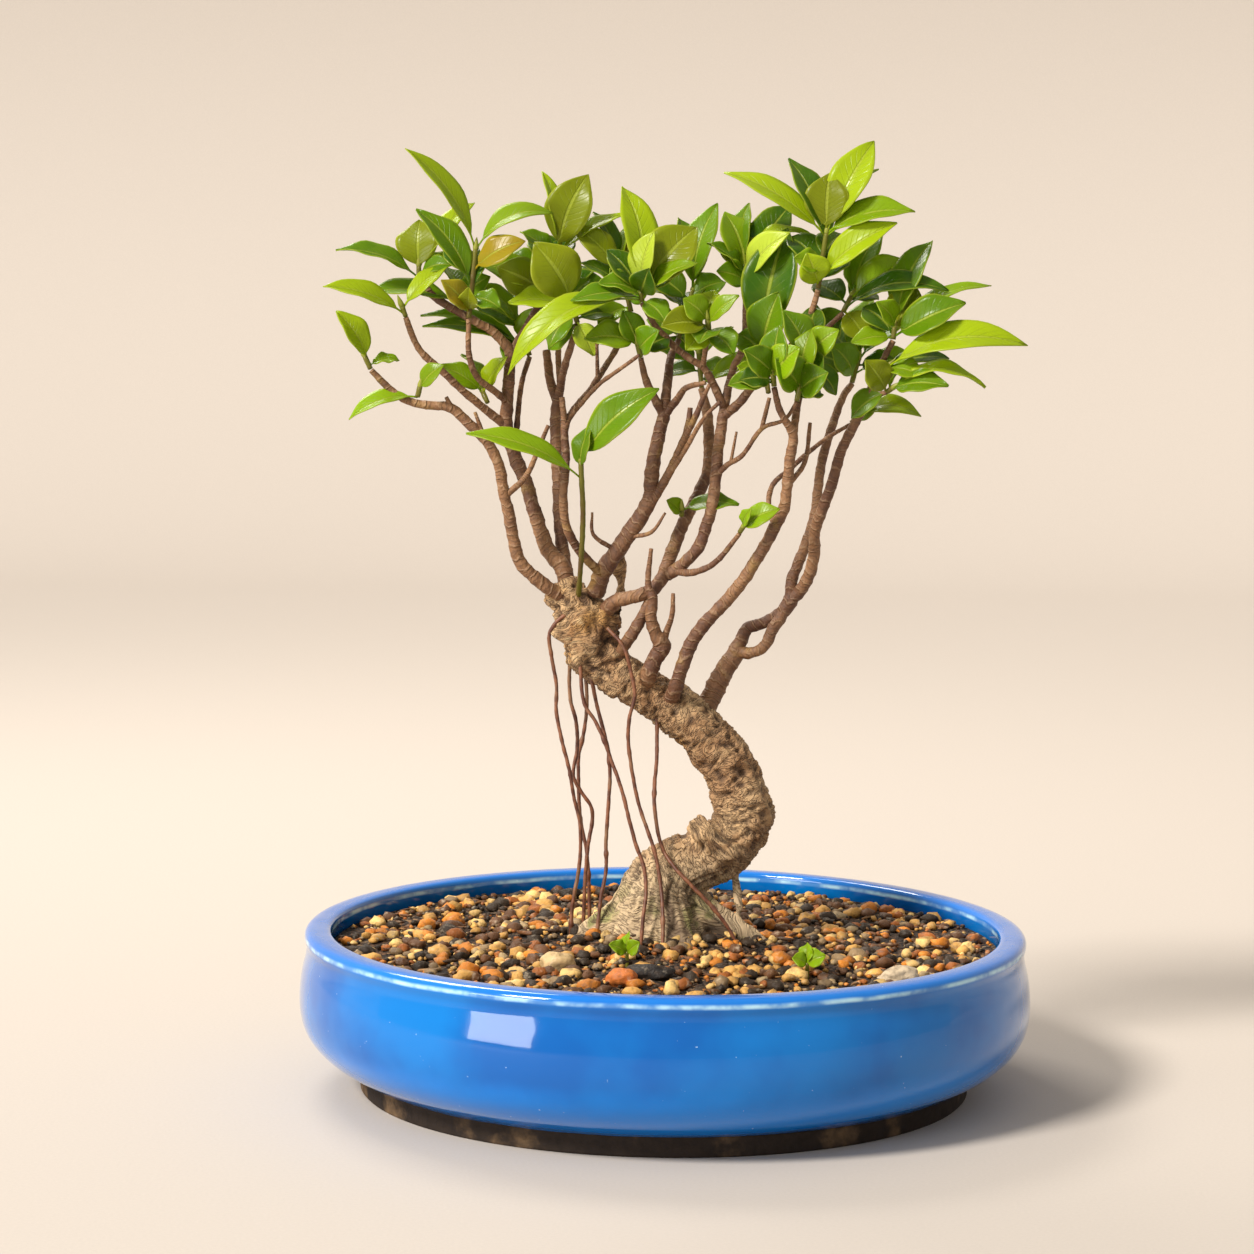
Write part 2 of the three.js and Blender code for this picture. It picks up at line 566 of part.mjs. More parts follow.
// Each shoot is a green twig from `from` to `to` that ends in a bud, and its leaves. A leaf is
// [place along the twig, reach x, y, z, width, face, arch].
const shoots = {
  far_left: {
    from: [-120.8, -18, 294], to: [-123, -19, 299],
    leaves: [[0.6, -12, -5, 20, 10, 45], [0.3, 12, 5, 2, 6, 30]],
  },
  left_low: {
    from: [-102, -16, 283], to: [-101, -17, 287],
    leaves: [[0, -27, -8, -9, 9, 35], [0.8, 10, -5, 10, 8, 50]],
  },
  left_inner: {
    from: [-75, 6.5, 280], to: [-77, 9, 284],
    leaves: [
      [1, -18, -4, 11, 10, 45], [0.8, -10, 8, 16, 9, 20], [1, 10, -7, 15, 8, 50],
    ],
  },
  left_outer: {
    from: [-107.5, -8, 315], to: [-109, -9, 319],
    leaves: [[0.2, -32, -10, 11, 10, 35], [0.8, 19, 7, 18, 9, 45]],
  },
  left_fork: {
    from: [-103, 2, 330.5], to: [-103, 2, 335],
    leaves: [
      [0.5, 0, 5, 21, 15, 80], [0, -33, -8, 11, 10, 30], [0.3, 14, -6, 4, 7, 45],
      [0.8, 22, 8, 27, 9, 45], [0.3, 17, 5, 6, 8, 40],
    ],
  },
  left_middle: {
    from: [-86, 4, 319], to: [-86, 6, 323],
    leaves: [
      [0.3, -40, -3, 3, 10, 35], [1, -8, 10, 12, 9, 35], [0.6, 12, -6, 10, 10, 55],
    ],
  },
  upper_left: {
    from: [-82, -8, 314.5], to: [-79.5, -8, 342],
    leaves: [
      [0.08, -11, -8, 13, 9, 50], [0.12, 0, -9, 9, 7, 75], [0.45, -23, 4, 31, 11, 55],
      [0.4, 2, 8, 17, 8, 70], [0.7, 21, -6, 12, 11, 55], [1, -28, -6, 40, 10, 35, 0.1],
      [1, 31, 6, 15, 11, 30, 0.2], [0.3, 12, -6, -4, 9, 50], [0.6, -12, 8, 12, 10, 55],
    ],
  },
  olive: {
    from: [-38.5, 0, 313], to: [-41, -3, 321],
    leaves: [
      [1, -15, -8, 24, 18, 75], [0.6, 14, -10, 6, 9, 40], [0.7, -26, -4, 2, 10, 40],
      [0.1, 7, -6, -14, 10, 65], [0, -12, 4, -11, 10, 55], [0.2, 14, 8, 2, 12, 40],
      [0.5, -10, -8, -14, 9, 60],
    ],
  },
  left_top: {
    from: [-53, 10, 323.5], to: [-47, 12, 341],
    leaves: [
      [1, -7, 6, 33, 9, 40], [1, 12, -2, 32, 16, 75], [0.4, -19, 4, 8, 11, 50],
      [0.8, -14, -4, 12, 9, 40], [0.9, 30, 4, 18, 7, 35], [0.5, 9, 8, 15, 11, 50],
      [0.2, -26, -2, 9, 12, 55], [0.1, -19, -9, 10, 14, 70], [0.6, -8, 10, 14, 12, 55],
    ],
  },
  middle_top: {
    from: [-17, 10, 317.5], to: [-22, 14, 337],
    leaves: [
      [1, -11, 6, 21, 8, 40], [0.8, -20, -2, 19, 10, 60], [0.9, 10, 10, 23, 8, 25],
      [0.6, 6, 12, 22, 12, 60], [0.3, -20, 2, 14, 9, 30], [0.2, 9, -8, 9, 10, 60],
      [0.1, -13, -8, -7, 10, 50], [0.5, -6, -10, 8, 10, 65],
    ],
  },
  centre: {
    from: [-12.3, -14, 322], to: [-12.8, -15, 326],
    leaves: [
      [0.5, -17, -8, 5, 11, 35], [1, 5, -4, 24, 11, 45], [0.8, 3, -11, 10, 10, 75],
      [0.2, 22, -12, 15, 9, 35], [0.2, -53, -14, -30, 13, 40, 0.2], [0.3, -28, -12, -1, 10, 30],
      [1, 22, 4, 26, 18, 70], [1, -8, 12, 42, 13, 60], [0.6, -14, 7, 18, 12, 50],
      [0.8, 14, 8, 10, 12, 50], [0.1, 10, -9, -9, 9, 60],
    ],
  },
  centre_back: {
    from: [2.4, 8, 306.5], to: [8, 18, 326],
    leaves: [
      [1, 10, 8, 36, 12, 55], [1, -6, 6, 30, 13, 50], [0.4, 10, 12, 14, 10, 30],
      [0.6, -16, 10, 8, 11, 20], [0.8, -18, 4, 13, 12, 60], [0.2, -14, -2, 4, 12, 50],
      [0.1, 12, 0, -4, 11, 50], [0.9, 14, 2, 6, 11, 55],
    ],
  },
  right_centre_top: {
    from: [29.5, 0, 330], to: [29.5, 1, 336],
    leaves: [
      [0.5, -3, 4, 17, 15, 80], [0.2, 17, -14, 19, 12, 45], [0.8, 27, -2, 14, 7, 20, 0.3],
      [0.4, -9, 8, 26, 13, 65], [1, 1, 10, 26, 9, 50], [0.3, -16, -6, 14, 8, 30],
      [0.9, 18, 10, 26, 13, 60], [0.1, -12, -8, 4, 10, 60], [0.3, 12, 8, 6, 13, 60],
      [0, 10, -8, -9, 9, 60],
    ],
  },
  dark_right: {
    from: [38.6, -22.5, 286.5], to: [36, -8, 304],
    leaves: [
      [1, 10, 4, 48, 19, 70], [0.9, 6, -10, 24, 15, 55], [0.8, -10, 4, 9, 12, 60],
      [0.5, 13, 7, 7, 12, 55], [0.2, -12, -4, 7, 9, 50],
    ],
  },
  top_right: {
    from: [58, -16, 328], to: [61, -14, 350],
    leaves: [
      [0.05, -5, -6, 13, 11, 80], [0.2, 30, -8, 22, 12, 50], [1, 1, 2, 24, 15, 80],
      [1, 19, 8, 37, 14, 60], [1, 21, 12, 26, 8, 25], [1, 26, -2, 11, 10, 40],
      [0.95, 35, -6, 10, 12, 40], [0.9, -15, 10, 32, 11, 55], [0.95, -41, 4, 25, 12, 40],
      [0.8, -8, 12, 20, 10, 40], [0.1, 10, 11, 12, 12, 55], [0.3, -13, 11, 14, 12, 55],
      [0.5, 9, 13, 11, 11, 55], [0.4, -11, -6, 3, 9, 60],
    ],
  },
  right_middle: {
    from: [68.7, -3, 318.5], to: [72, -2, 325],
    leaves: [
      [0.2, 41, -12, 8, 10, 40, 0.2], [1, -1, 6, 16, 9, 50], [0.8, 25, -4, 15, 13, 60],
      [1, 13, 8, 27, 10, 60], [0.5, -13, 11, 8, 12, 50], [0.3, -9, 9, -12, 12, 60],
      [0.1, 9, -6, -12, 11, 70], [0.6, 11, 12, 4, 12, 50],
    ],
  },
  right_centre_low: {
    from: [49.7, -30, 283.5], to: [51, -31, 290],
    leaves: [
      [0.8, -10, -10, 12, 13, 65], [0.6, 11, -10, 8, 12, 60], [1, 4, 2, 22, 11, 50],
      [0.3, -8, 8, 14, 11, 55], [0.1, 9, 8, 4, 10, 50],
    ],
  },
  right_top: {
    from: [88.5, -14, 308], to: [89, -14, 313],
    leaves: [
      [0.4, 9, 4, 19, 13, 65], [0.2, 28, -8, 14, 14, 55], [0.9, 15, 10, 35, 12, 50],
      [0.6, 39, 6, 19, 8, 25], [1, -8, -10, 10, 9, 50], [0.1, -17, -4, -2, 9, 40],
      [0.3, -12, 9, 11, 12, 55], [0.5, 4, 13, 9, 12, 55],
    ],
  },
  right_long: {
    from: [83, -15, 294], to: [86, -16, 297],
    leaves: [
      [0.5, 57, -8, 11, 13, 40, 0.2], [0.5, 27, 6, 5, 10, 30], [0.8, 15, -7, -3, 9, 45],
    ],
  },
  right_low: {
    from: [86, -17, 287], to: [88, -18, 288.5],
    leaves: [
      [1, 37, -6, 1, 8, 30, 0.25], [0.8, 22, -14, 2, 11, 45], [0.6, 4, 8, 13, 7, 50],
      [0, -9, -7, 13, 11, 70], [0.1, -14, 5, -11, 10, 50],
    ],
  },
  right_lowest: {
    from: [73, 4, 273.5], to: [77, 3, 276],
    leaves: [
      [1, 24, -8, 1, 9, 40, 0.3], [0.5, 14, 10, 10, 9, 30], [0.3, 9, -7, 12, 10, 55],
    ],
  },
  right_back: {
    from: [74.5, 31, 289], to: [77, 33, 298],
    leaves: [
      [1, 24, 12, 20, 12, 40], [0.7, -16, 14, 18, 12, 40], [0.9, 6, 6, 28, 12, 50],
      [0.4, 28, 4, 6, 11, 30], [0.5, -22, -3, 8, 12, 50], [0.2, -10, -9, 14, 12, 55],
      [0.8, 17, -2, -2, 11, 50],
    ],
  },
  front: {
    from: [-37, -6, 202], to: [-36, -25, 258], via: [[-36, -14, 214], [-35, -20, 236]],
    leaves: [
      [1, 31, -8, 30, 14, 60], [0.95, 4, -4, 18, 8, 50], [0.9, -46, -8, 18, 10, 35],
    ],
  },
  right_stray: {
    from: [27.8, -29, 231], to: [29, -30, 233],
    leaves: [[0.5, 15, -6, 9, 9, 45], [1, 3, -6, 8, 5, 40]],
  },
  low_centre: {
    from: [4.6, -3.8, 235.5], to: [4.6, -5, 238],
    leaves: [[0.3, -6, -5, 6, 6, 50], [0.9, 23, -8, 3, 9, 35]],
  },
  centre_low: {
    from: [14.7, -18, 310], to: [14, -19, 315],
    leaves: [
      [0.8, 2, 4, 13, 10, 75], [0.6, 12, -6, 12, 8, 40], [0.5, -19, -8, 0, 11, 50],
      [0.2, -4, -12, -5, 10, 60], [0.9, -10, -4, 9, 10, 60], [0.1, 10, -7, -9, 10, 60],
      [0, -9, -7, -7, 9, 65],
    ],
  },
  left_low_dark: {
    from: [-58.5, 18, 299], to: [-62, 18, 311],
    leaves: [
      [0.9, -20, -6, 10, 12, 45], [1, -18, -10, 18, 9, 45], [0.1, -44, -8, 15, 9, 30],
      [0, -43, -16, 12, 8, 30], [0.2, 4, -8, 18, 11, 60], [0.6, 12, -9, 9, 11, 55],
      [0.4, -8, -12, -8, 10, 60],
    ],
  },
  front_low: {
    from: [-12.6, -15, 300], to: [-14, -17, 305],
    leaves: [
      [1, -21, -8, 2, 12, 50], [0.6, 8, -10, 8, 10, 60], [0.4, 12, 4, 6, 11, 50],
      [0.9, -6, -2, 14, 10, 60],
    ],
  },
  centre_rear: {
    from: [12.3, 22, 286.5], to: [11, 28, 300],
    leaves: [
      [1, -16, 14, 12, 12, 30], [0.8, 14, 16, 14, 12, 30], [1, 2, 16, 24, 12, 40],
      [0.5, -14, 6, -2, 10, 30], [0.4, 16, 10, 2, 11, 20], [0.1, 31, -9, 15, 8, 50],
      [0.3, 6, 15, -6, 12, 20], [0.7, -20, 4, 8, 12, 40],
    ],
  },
  left_rear: {
    from: [-46.3, 28, 312.5], to: [-46, 34, 326],
    leaves: [
      [1, -14, 14, 14, 12, 30], [0.8, 16, 14, 12, 12, 30], [1, 0, 12, 24, 12, 40],
      [0.5, -24, 8, 2, 11, 20], [0.4, 22, 8, 0, 11, 20], [0.7, -10, 8, -8, 12, 40],
      [0.3, 12, -8, 14, 13, 60], [0.9, 18, 2, 4, 12, 50],
    ],
  },
  right_inner: {
    from: [40.5, -34, 289.5], to: [40, -35, 294],
    leaves: [
      [1, -12, -10, 10, 11, 60], [0.8, 10, -10, 12, 12, 60], [0.5, -14, -4, 0, 10, 50],
      [0.3, -18, -2, -1, 9, 50], [0.9, 2, -2, 20, 11, 60],
    ],
  },
  right_inner_high: {
    from: [53.5, -24, 293.5], to: [54, -23, 300],
    leaves: [
      [1, 12, -6, 12, 11, 60], [0.9, -10, -2, 20, 12, 60], [0.5, 6, -14, 0, 10, 50],
      [0.8, 12, 5, -13, 9, 50], [0.3, -11, 6, 8, 11, 55], [0.9, 4, 9, 22, 12, 55],
    ],
  },
};

function shootSolid(shoot, extra) {
  const points = [shoot.from, ...(shoot.via ?? []), shoot.to].map(treePoint);
  const last = points.at(-1);
  const onward = last.clone().sub(points.at(-2)).normalize();
  const path = new THREE.CatmullRomCurve3(points, false, "centripetal");
  const steps = points.length - 1;
  const twig = [
    ...points,
    last.clone().addScaledVector(onward, budLength * 0.5),
    last.clone().addScaledVector(onward, budLength),
  ];
  const radii = twig.map((point, i) => (i <= steps ? 1 : i === steps + 1 ? 1.1 : 0.3) + extra);
  const leaves = shoot.leaves.map(([place, x, y, z, width, face, arch = leafArch]) => {
    const reach = new THREE.Vector3(x, y, z).multiplyScalar(growth);
    return leaf(path.getPoint(place), reach, width * growth, face, arch, extra);
  });
  return joined([tube(twig, radii, 4, extra), ...leaves]);
}

for (const [name, shoot] of Object.entries(shoots)) {
  addPlantPiece("shoot_" + name, (extra) => shootSolid(shoot, extra), leafGreen);
}

// ---------------------------------------------------------------- soil and what lies on it

function soilHeight(x, y) {
  const mound = soilMound * Math.exp(-((Math.hypot(x, y) / moundRadius) ** 2));
  const lumps = 0.7 * Math.sin(x / 9 + 1) * Math.cos(y / 8) + 0.4 * Math.sin(x / 4 - y / 5);
  return potHeight - soilDrop + mound + lumps;
}

// Stones and a bark chip, half sunk: [name, x, y, length, depth, height, turn, material].
const stones = [
  ["stone_tan", -42, -62, 15, 11, 10, 20, tanStone],
  ["stone_orange", -16, -86, 13, 10, 9, -15, orangeStone],
  ["stone_pale", 92, -70, 17, 12, 9, 30, paleStone],
  ["bark_chip", -6, -74, 19, 9, 7, -12, blackBark],
];

function stoneSolid([, x, y, length, depth, height, turn], extra) {
  const stone = new THREE.IcosahedronGeometry(0.5, 1);
  stone.scale(length + 2 * extra, depth + 2 * extra, height + 2 * extra);
  stone.rotateZ(THREE.MathUtils.degToRad(turn));
  stone.translate(x, y, soilHeight(x, y) + height * 0.15);
  return solidOf(stone);
}

for (const stone of stones) {
  addPlantPiece(stone[0], (extra) => stoneSolid(stone, extra), stone.at(-1));
}

// Small wild seedlings: a thin stem with a few leaves.
const seedlings = [
  ["seedling_left", -15, -58, [[-7, -3, 4, 5, 50], [5, -4, 5, 5, 50], [1, 4, 8, 4, 40]]],
  ["seedling_right", 56, -66, [[-6, -2, 3, 5, 50], [7, -3, 4, 6, 50], [0, 3, 8, 5, 60]]],
];

function seedlingSolid([, x, y, leaves], extra) {
  const ground = soilHeight(x, y);
  const heights = [ground - 5, ground, ground + 5];
  const points = heights.map((z) => new THREE.Vector3(x, y, z));
  const top = points.at(-1);
  const blades = leaves.map(([dx, dy, dz, width, face]) =>
    leaf(top.clone().setZ(top.z - 0.6), new THREE.Vector3(dx, dy, dz), width, face, leafArch, extra),
  );
  return joined([tube(points, points.map(() => 0.8 + extra), 5, extra), ...blades]);
}

for (const seedling of seedlings) {
  addPlantPiece(seedling[0], (extra) => seedlingSolid(seedling, extra), seedlingGreen);
}

function soilSolid() {
  const level = potHeight - soilDrop;
  const side = hollowOutline(clearance);
  // Above the belly the wall leans in to the rim, and the soil with it.
  const lean = (innerRadius - rimInside) / (potHeight - 2 - bellyHeight);
  const topRadius = innerRadius - clearance * 1.2 - lean * (level - bellyHeight);
  const outline = [...side, new THREE.Vector2(topRadius, level)];
  for (const share of [0.8, 0.58, 0.38, 0.2, 0]) {
    outline.push(new THREE.Vector2(topRadius * share, level));
  }
  const geometry = turned(outline);
  const position = geometry.attributes.position;
  for (let i = 0; i < position.count; i++) {
    const x = position.getX(i);
    const y = position.getY(i);
    const onTop = position.getZ(i) > level - 0.01 && Math.hypot(x, y) < topRadius - 0.01;
    if (onTop) position.setZ(i, soilHeight(x, y));
  }
  const around = clearance;
  const screenRoom = screenSide + 2 * around;
  const screen = boxSolid(screenRoom, screenRoom, 2 * screenThickness + 2 * around, 0, 0, floorTop + around);
  return wasm.Manifold.difference([solidOf(geometry), screen, clipSolid(around), ...fattened]);
}

addMesh("soil", mainBody(soilSolid()), earth);

export default bonsai;
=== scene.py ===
"""The looks of a bonsai: a small-leaf fig in a round, shallow, blue-glazed pot.
Metres, +Z up, front towards -Y. The origin is on the pot's axis, where the pot stands."""

import math
import random

import bmesh
import bpy
from mathutils import Matrix, Vector, kdtree, noise


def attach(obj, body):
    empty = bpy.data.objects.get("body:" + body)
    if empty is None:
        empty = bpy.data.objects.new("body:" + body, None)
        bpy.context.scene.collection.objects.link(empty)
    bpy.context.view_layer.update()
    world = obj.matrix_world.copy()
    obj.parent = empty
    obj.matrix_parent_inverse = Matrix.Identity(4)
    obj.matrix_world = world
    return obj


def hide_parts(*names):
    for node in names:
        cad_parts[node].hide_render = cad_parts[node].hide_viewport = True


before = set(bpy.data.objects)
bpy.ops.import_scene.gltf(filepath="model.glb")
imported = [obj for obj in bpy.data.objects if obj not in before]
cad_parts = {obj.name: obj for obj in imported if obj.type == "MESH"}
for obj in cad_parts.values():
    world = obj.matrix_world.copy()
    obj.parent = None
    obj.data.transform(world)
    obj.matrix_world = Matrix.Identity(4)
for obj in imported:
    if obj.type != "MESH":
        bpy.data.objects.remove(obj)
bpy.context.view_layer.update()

# ---------------------------------------------------------------- glazed pot
# The pot is thrown on a wheel from dark clay, dipped in a blue glaze down to its foot and fired.
# The glaze breaks pale along the rim's edge, and the foot is left bare, brown-black with tan spots.


class Level:
    """A number that changes over a surface, ready for sums."""

    def __init__(self, finish, socket):
        self.finish, self.socket = finish, socket

    def sum(self, operation, first, second):
        return self.finish.node("ShaderNodeMath", {"operation": operation}, {0: first, 1: second})

    def __add__(self, other):
        return self.sum("ADD", self, other)

    def __radd__(self, other):
        return self.sum("ADD", other, self)

    def __sub__(self, other):
        return self.sum("SUBTRACT", self, other)

    def __rsub__(self, other):
        return self.sum("SUBTRACT", other, self)

    def __mul__(self, other):
        return self.sum("MULTIPLY", self, other)

    def __rmul__(self, other):
        return self.sum("MULTIPLY", other, self)

    def __truediv__(self, other):
        return self.sum("DIVIDE", self, other)

    def __rtruediv__(self, other):
        return self.sum("DIVIDE", other, self)


class Finish:
    """A material for one kind of surface. Its patterns lie in the object's own space."""

    def __init__(self, name, **constants):
        self.material = bpy.data.materials.new(name)
        self.material.use_nodes = True
        self.tree = self.material.node_tree
        self.shader = self.tree.nodes["Principled BSDF"]
        for socket, value in constants.items():
            self.shader.inputs[socket.replace("_", " ")].default_value = value
        self.place = self.node("ShaderNodeTexCoord", {}, {}, output="Object")

    def node(self, kind, settings, inputs, output=0):
        made = self.tree.nodes.new(kind)
        for name, value in settings.items():
            if name == "stops":
                stops = made.color_ramp.elements
                stops.remove(stops[1])
                stops[0].position, stops[0].color = value[0][0], (*value[0][1], 1)
                for position, colour in value[1:]:
                    stops.new(position).color = (*colour, 1)
            else:
                setattr(made, name, value)
        for name, value in inputs.items():
            if isinstance(value, Level):
                self.tree.links.new(value.socket, made.inputs[name])
            else:
                made.inputs[name].default_value = value
        return Level(self, made.outputs[output])

    def grain(self, scale, detail=3.0, place=None, roughness=0.5):
        """Cloudy noise from 0 to 1, `scale` patches to a metre."""
        inputs = {"Vector": place or self.place, "Scale": scale, "Detail": detail, "Roughness": roughness}
        return self.node("ShaderNodeTexNoise", {}, inputs, output=0)

    def step(self, level, low, high, start=0.0, end=1.0):
        """A soft step: start below low, end above high."""
        inputs = {0: level, 1: low, 2: high, 3: start, 4: end}
        return self.node("ShaderNodeMapRange", {"interpolation_type": "SMOOTHSTEP"}, inputs)

    def blend(self, share, first, second):
        """From the first colour to the second as share goes from 0 to 1."""
        colours = [c if isinstance(c, Level) else (*c, 1) for c in (first, second)]
        inputs = {0: share, 6: colours[0], 7: colours[1]}
        return self.node("ShaderNodeMix", {"data_type": "RGBA"}, inputs, output=2)

    def ramp(self, level, stops):
        return self.node("ShaderNodeValToRGB", {"stops": stops}, {0: level})

    def height(self, axis="Z"):
        return self.node("ShaderNodeSeparateXYZ", {}, {0: self.place}, output=axis)

    def attribute(self, name, output="Fac"):
        return self.node("ShaderNodeAttribute", {"attribute_name": name}, {}, output=output)

    def put(self, socket, level):
        self.tree.links.new(level.socket, self.shader.inputs[socket])

    def bump(self, level, depth, strength=1.0):
        """Relief, with `depth` metres between level 0 and level 1."""
        inputs = {"Height": level, "Distance": depth, "Strength": strength}
        self.put("Normal", self.node("ShaderNodeBump", {}, inputs))


def piece(name, shape, finish, stands_for=()):
    """One finished piece from its bmesh, in place of the CAD nodes it stands for."""
    mesh = bpy.data.meshes.new(name)
    shape.to_mesh(mesh)
    shape.free()
    mesh.materials.append(finish.material)
    mesh.shade_smooth()
    made = bpy.data.objects.new(name, mesh)
    bpy.context.collection.objects.link(made)
    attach(made, "root")
    if stands_for:
        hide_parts(*stands_for)
    return made


def turned(outline, steps, closed=True):
    """A shape turned on the wheel from its outline of (radius, height) in millimetres."""
    shape = bmesh.new()
    corners = [shape.verts.new((radius / 1000, 0, height / 1000)) for radius, height in outline]
    for first, second in zip(corners, corners[1:] + corners[:1] if closed else corners[1:]):
        shape.edges.new((first, second))
    bmesh.ops.spin(
        shape, geom=shape.verts[:] + shape.edges[:], cent=(0, 0, 0), axis=(0, 0, 1),
        dvec=(0, 0, 0), angle=2 * math.pi, steps=steps, use_merge=True,
    )
    bmesh.ops.remove_doubles(shape, verts=shape.verts, dist=2e-6)
    bmesh.ops.recalc_face_normals(shape, faces=shape.faces)
    return shape


def rounded(outline, times=2):
    """The outline with its corners cut to curves, its first and last points kept."""
    for _ in range(times):
        smooth = [outline[0]]
        for (r, z), (next_r, next_z) in zip(outline, outline[1:]):
            smooth += [(0.75 * r + 0.25 * next_r, 0.75 * z + 0.25 * next_z)]
            smooth += [(0.25 * r + 0.75 * next_r, 0.25 * z + 0.75 * next_z)]
        outline = smooth + [outline[-1]]
    return outline


pot_outside = [
    (125, 0.6), (125.3, 7.4), (125.8, 8.4), (131, 10.5), (139, 15), (145.3, 21), (148.7, 27),
    (150, 34), (150, 41), (149, 49), (147.4, 55), (147, 58.5), (147.3, 60), (147.9, 61.8),
    (147.9, 63.8), (146.6, 65.4), (144, 66), (141, 66), (138.6, 65.9), (137, 65), (136.9, 62),
]
pot_inside = [
    (138.2, 55), (141.6, 44), (142, 38), (141, 29), (136.5, 20), (128, 14), (117, 12.2), (104, 12),
]
pot_outline = [(11, 4.3), (11, 11.7), (11.3, 12), (60, 12)] + pot_inside[::-1]
pot_outline += rounded(pot_outside)[::-1]
pot_outline += [(124.4, 0), (107.6, 0), (107, 0.6), (107, 3.4), (106.4, 4), (60, 4), (11.3, 4)]

glaze = Finish("blue_glaze", IOR=1.5, Specular_IOR_Level=0.15, Coat_Roughness=0.03)
up = glaze.height()
clouds = glaze.grain(14, 4)
specks = glaze.grain(420, 2, roughness=0.7)
deep = glaze.blend(glaze.step(clouds, 0.38, 0.64), (0.0005, 0.095, 0.38), (0.001, 0.160, 0.52))
drips = glaze.grain(60, 2) * 0.006 + up
pooled = glaze.blend(glaze.step(drips, 0.024, 0.036, 1, 0) * 0.8, deep, (0.004, 0.20, 0.68))
thin = glaze.blend(glaze.step(up, 0.0600, 0.0655) * 0.8, pooled, (0.010, 0.17, 0.62))
edge_place = up + glaze.grain(35, 2) * 0.0012 - 0.0006
edge = glaze.step(edge_place, 0.0615, 0.0626) * glaze.step(edge_place, 0.0629, 0.0642, 1, 0)
broken = edge * glaze.step(glaze.grain(90, 3), 0.36, 0.66, 0.12, 0.85)
pale = glaze.blend(broken, thin, (0.50, 0.80, 0.92))
spotted = glaze.blend(glaze.step(specks, 0.74, 0.78) * 0.7, pale, (0.55, 0.75, 0.9))
clay_grain = glaze.grain(240, 6, roughness=0.65)
tan_patches = glaze.step(glaze.grain(38, 5), 0.52, 0.64)
clay = glaze.blend(tan_patches * 0.55, (0.030, 0.021, 0.016), (0.26, 0.16, 0.08))
clay = glaze.blend(glaze.step(clay_grain, 0.35, 0.7) * 0.5, clay, (0.012, 0.009, 0.008))
glazed = glaze.step(up + glaze.grain(70, 3) * 0.0012, 0.0088, 0.0096)
glaze.put("Base Color", glaze.blend(glazed, clay, spotted))
glaze.put("Roughness", glazed * -0.72 + 0.80 + glaze.step(clouds, 0.3, 0.7) * 0.05)
glaze.put("Coat Weight", glazed * 0.6)
ripples = glaze.grain(22, 2) * 0.9 + glaze.grain(110, 3) * 0.06
glaze.bump(ripples * glazed + clay_grain * (1 - glazed) * 0.5, 0.0011)

piece("glazed_pot", turned(pot_outline, 160), glaze, ["pot"])

# ---------------------------------------------------------------- drainage screen and clip
# A square of black plastic mesh lies over the drainage hole and keeps the soil in. A wire staple
# goes down through it and the hole, and its ends are bent out under the pot's floor.

mesh_plastic = Finish("black_mesh", Roughness=0.55)
scuffs = mesh_plastic.grain(300, 4)
plastic_tones = [(0.3, (0.010, 0.010, 0.011)), (0.8, (0.05, 0.047, 0.042))]
mesh_plastic.put("Base Color", mesh_plastic.ramp(scuffs, plastic_tones))
mesh_plastic.bump(scuffs, 0.0001)
staple_wire = Finish("aluminium_wire", Metallic=1.0)
streaks = staple_wire.grain(500, 3)
wire_tones = [(0.3, (0.42, 0.42, 0.43)), (0.7, (0.62, 0.61, 0.60))]
staple_wire.put("Base Color", staple_wire.ramp(streaks, wire_tones))
staple_wire.put("Roughness", streaks * 0.3 + 0.25)
for node, look in (("drainage_screen", mesh_plastic), ("screen_clip", staple_wire)):
    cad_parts[node].material_slots[0].material = look.material

# ---------------------------------------------------------------- soil
# An open, gravelly mix of bark, burnt clay and fine dark humus. It fills the pot to just below the
# rim and is mounded a little round the trunk.


def soil_height(x, y):
    """Height of the soil at a place, all in millimetres."""
    mound = 8 * math.exp(-((math.hypot(x, y) / 62) ** 2))
    lumps = 0.7 * math.sin(x / 9 + 1) * math.cos(y / 8) + 0.4 * math.sin(x / 4 - y / 5)
    return 58 + mound + lumps


soil_edge = 136.9
soil_rim_height = 57.9
soil_outline = [(0, 13.2), (60, 12.6), (104, 12.6), (117, 13), (127, 15), (135.5, 21), (140, 29)]
soil_outline += [(141.4, 38), (140.8, 44), (137.8, 54), (soil_edge, 57.6)]
soil_outline += [(soil_edge * (1 - ring / 60), 58) for ring in range(1, 61)]
soil_shape = turned(soil_outline, 180, closed=False)
for corner in soil_shape.verts:
    x, y, z = corner.co * 1000
    if z > soil_rim_height:
        fine = noise.fractal(Vector((x, y, 0)) * 0.35, 0.6, 2.1, 3) * 0.8
        corner.co.z = (soil_height(x, y) - 0.9 + fine) / 1000
earth = Finish("humus_and_grit", Roughness=0.92)
crumbs = earth.node("ShaderNodeTexVoronoi", {}, {"Vector": earth.place, "Scale": 520}, output="Color")
crumb_tone = earth.node("ShaderNodeSeparateColor", {}, {0: crumbs}, output=0)
crumb_depth = earth.node("ShaderNodeTexVoronoi", {}, {"Vector": earth.place, "Scale": 520}, output="Distance")
earthy = earth.ramp(crumb_tone, [
    (0.0, (0.012, 0.008, 0.006)), (0.45, (0.035, 0.020, 0.012)), (0.70, (0.10, 0.048, 0.022)),
    (0.86, (0.22, 0.10, 0.035)), (1.0, (0.38, 0.26, 0.14)),
])
damp = earth.step(earth.grain(30, 4), 0.4, 0.62, 0.45, 1.1)
earth.put("Base Color", earth.blend(damp, (0.010, 0.007, 0.005), earthy))
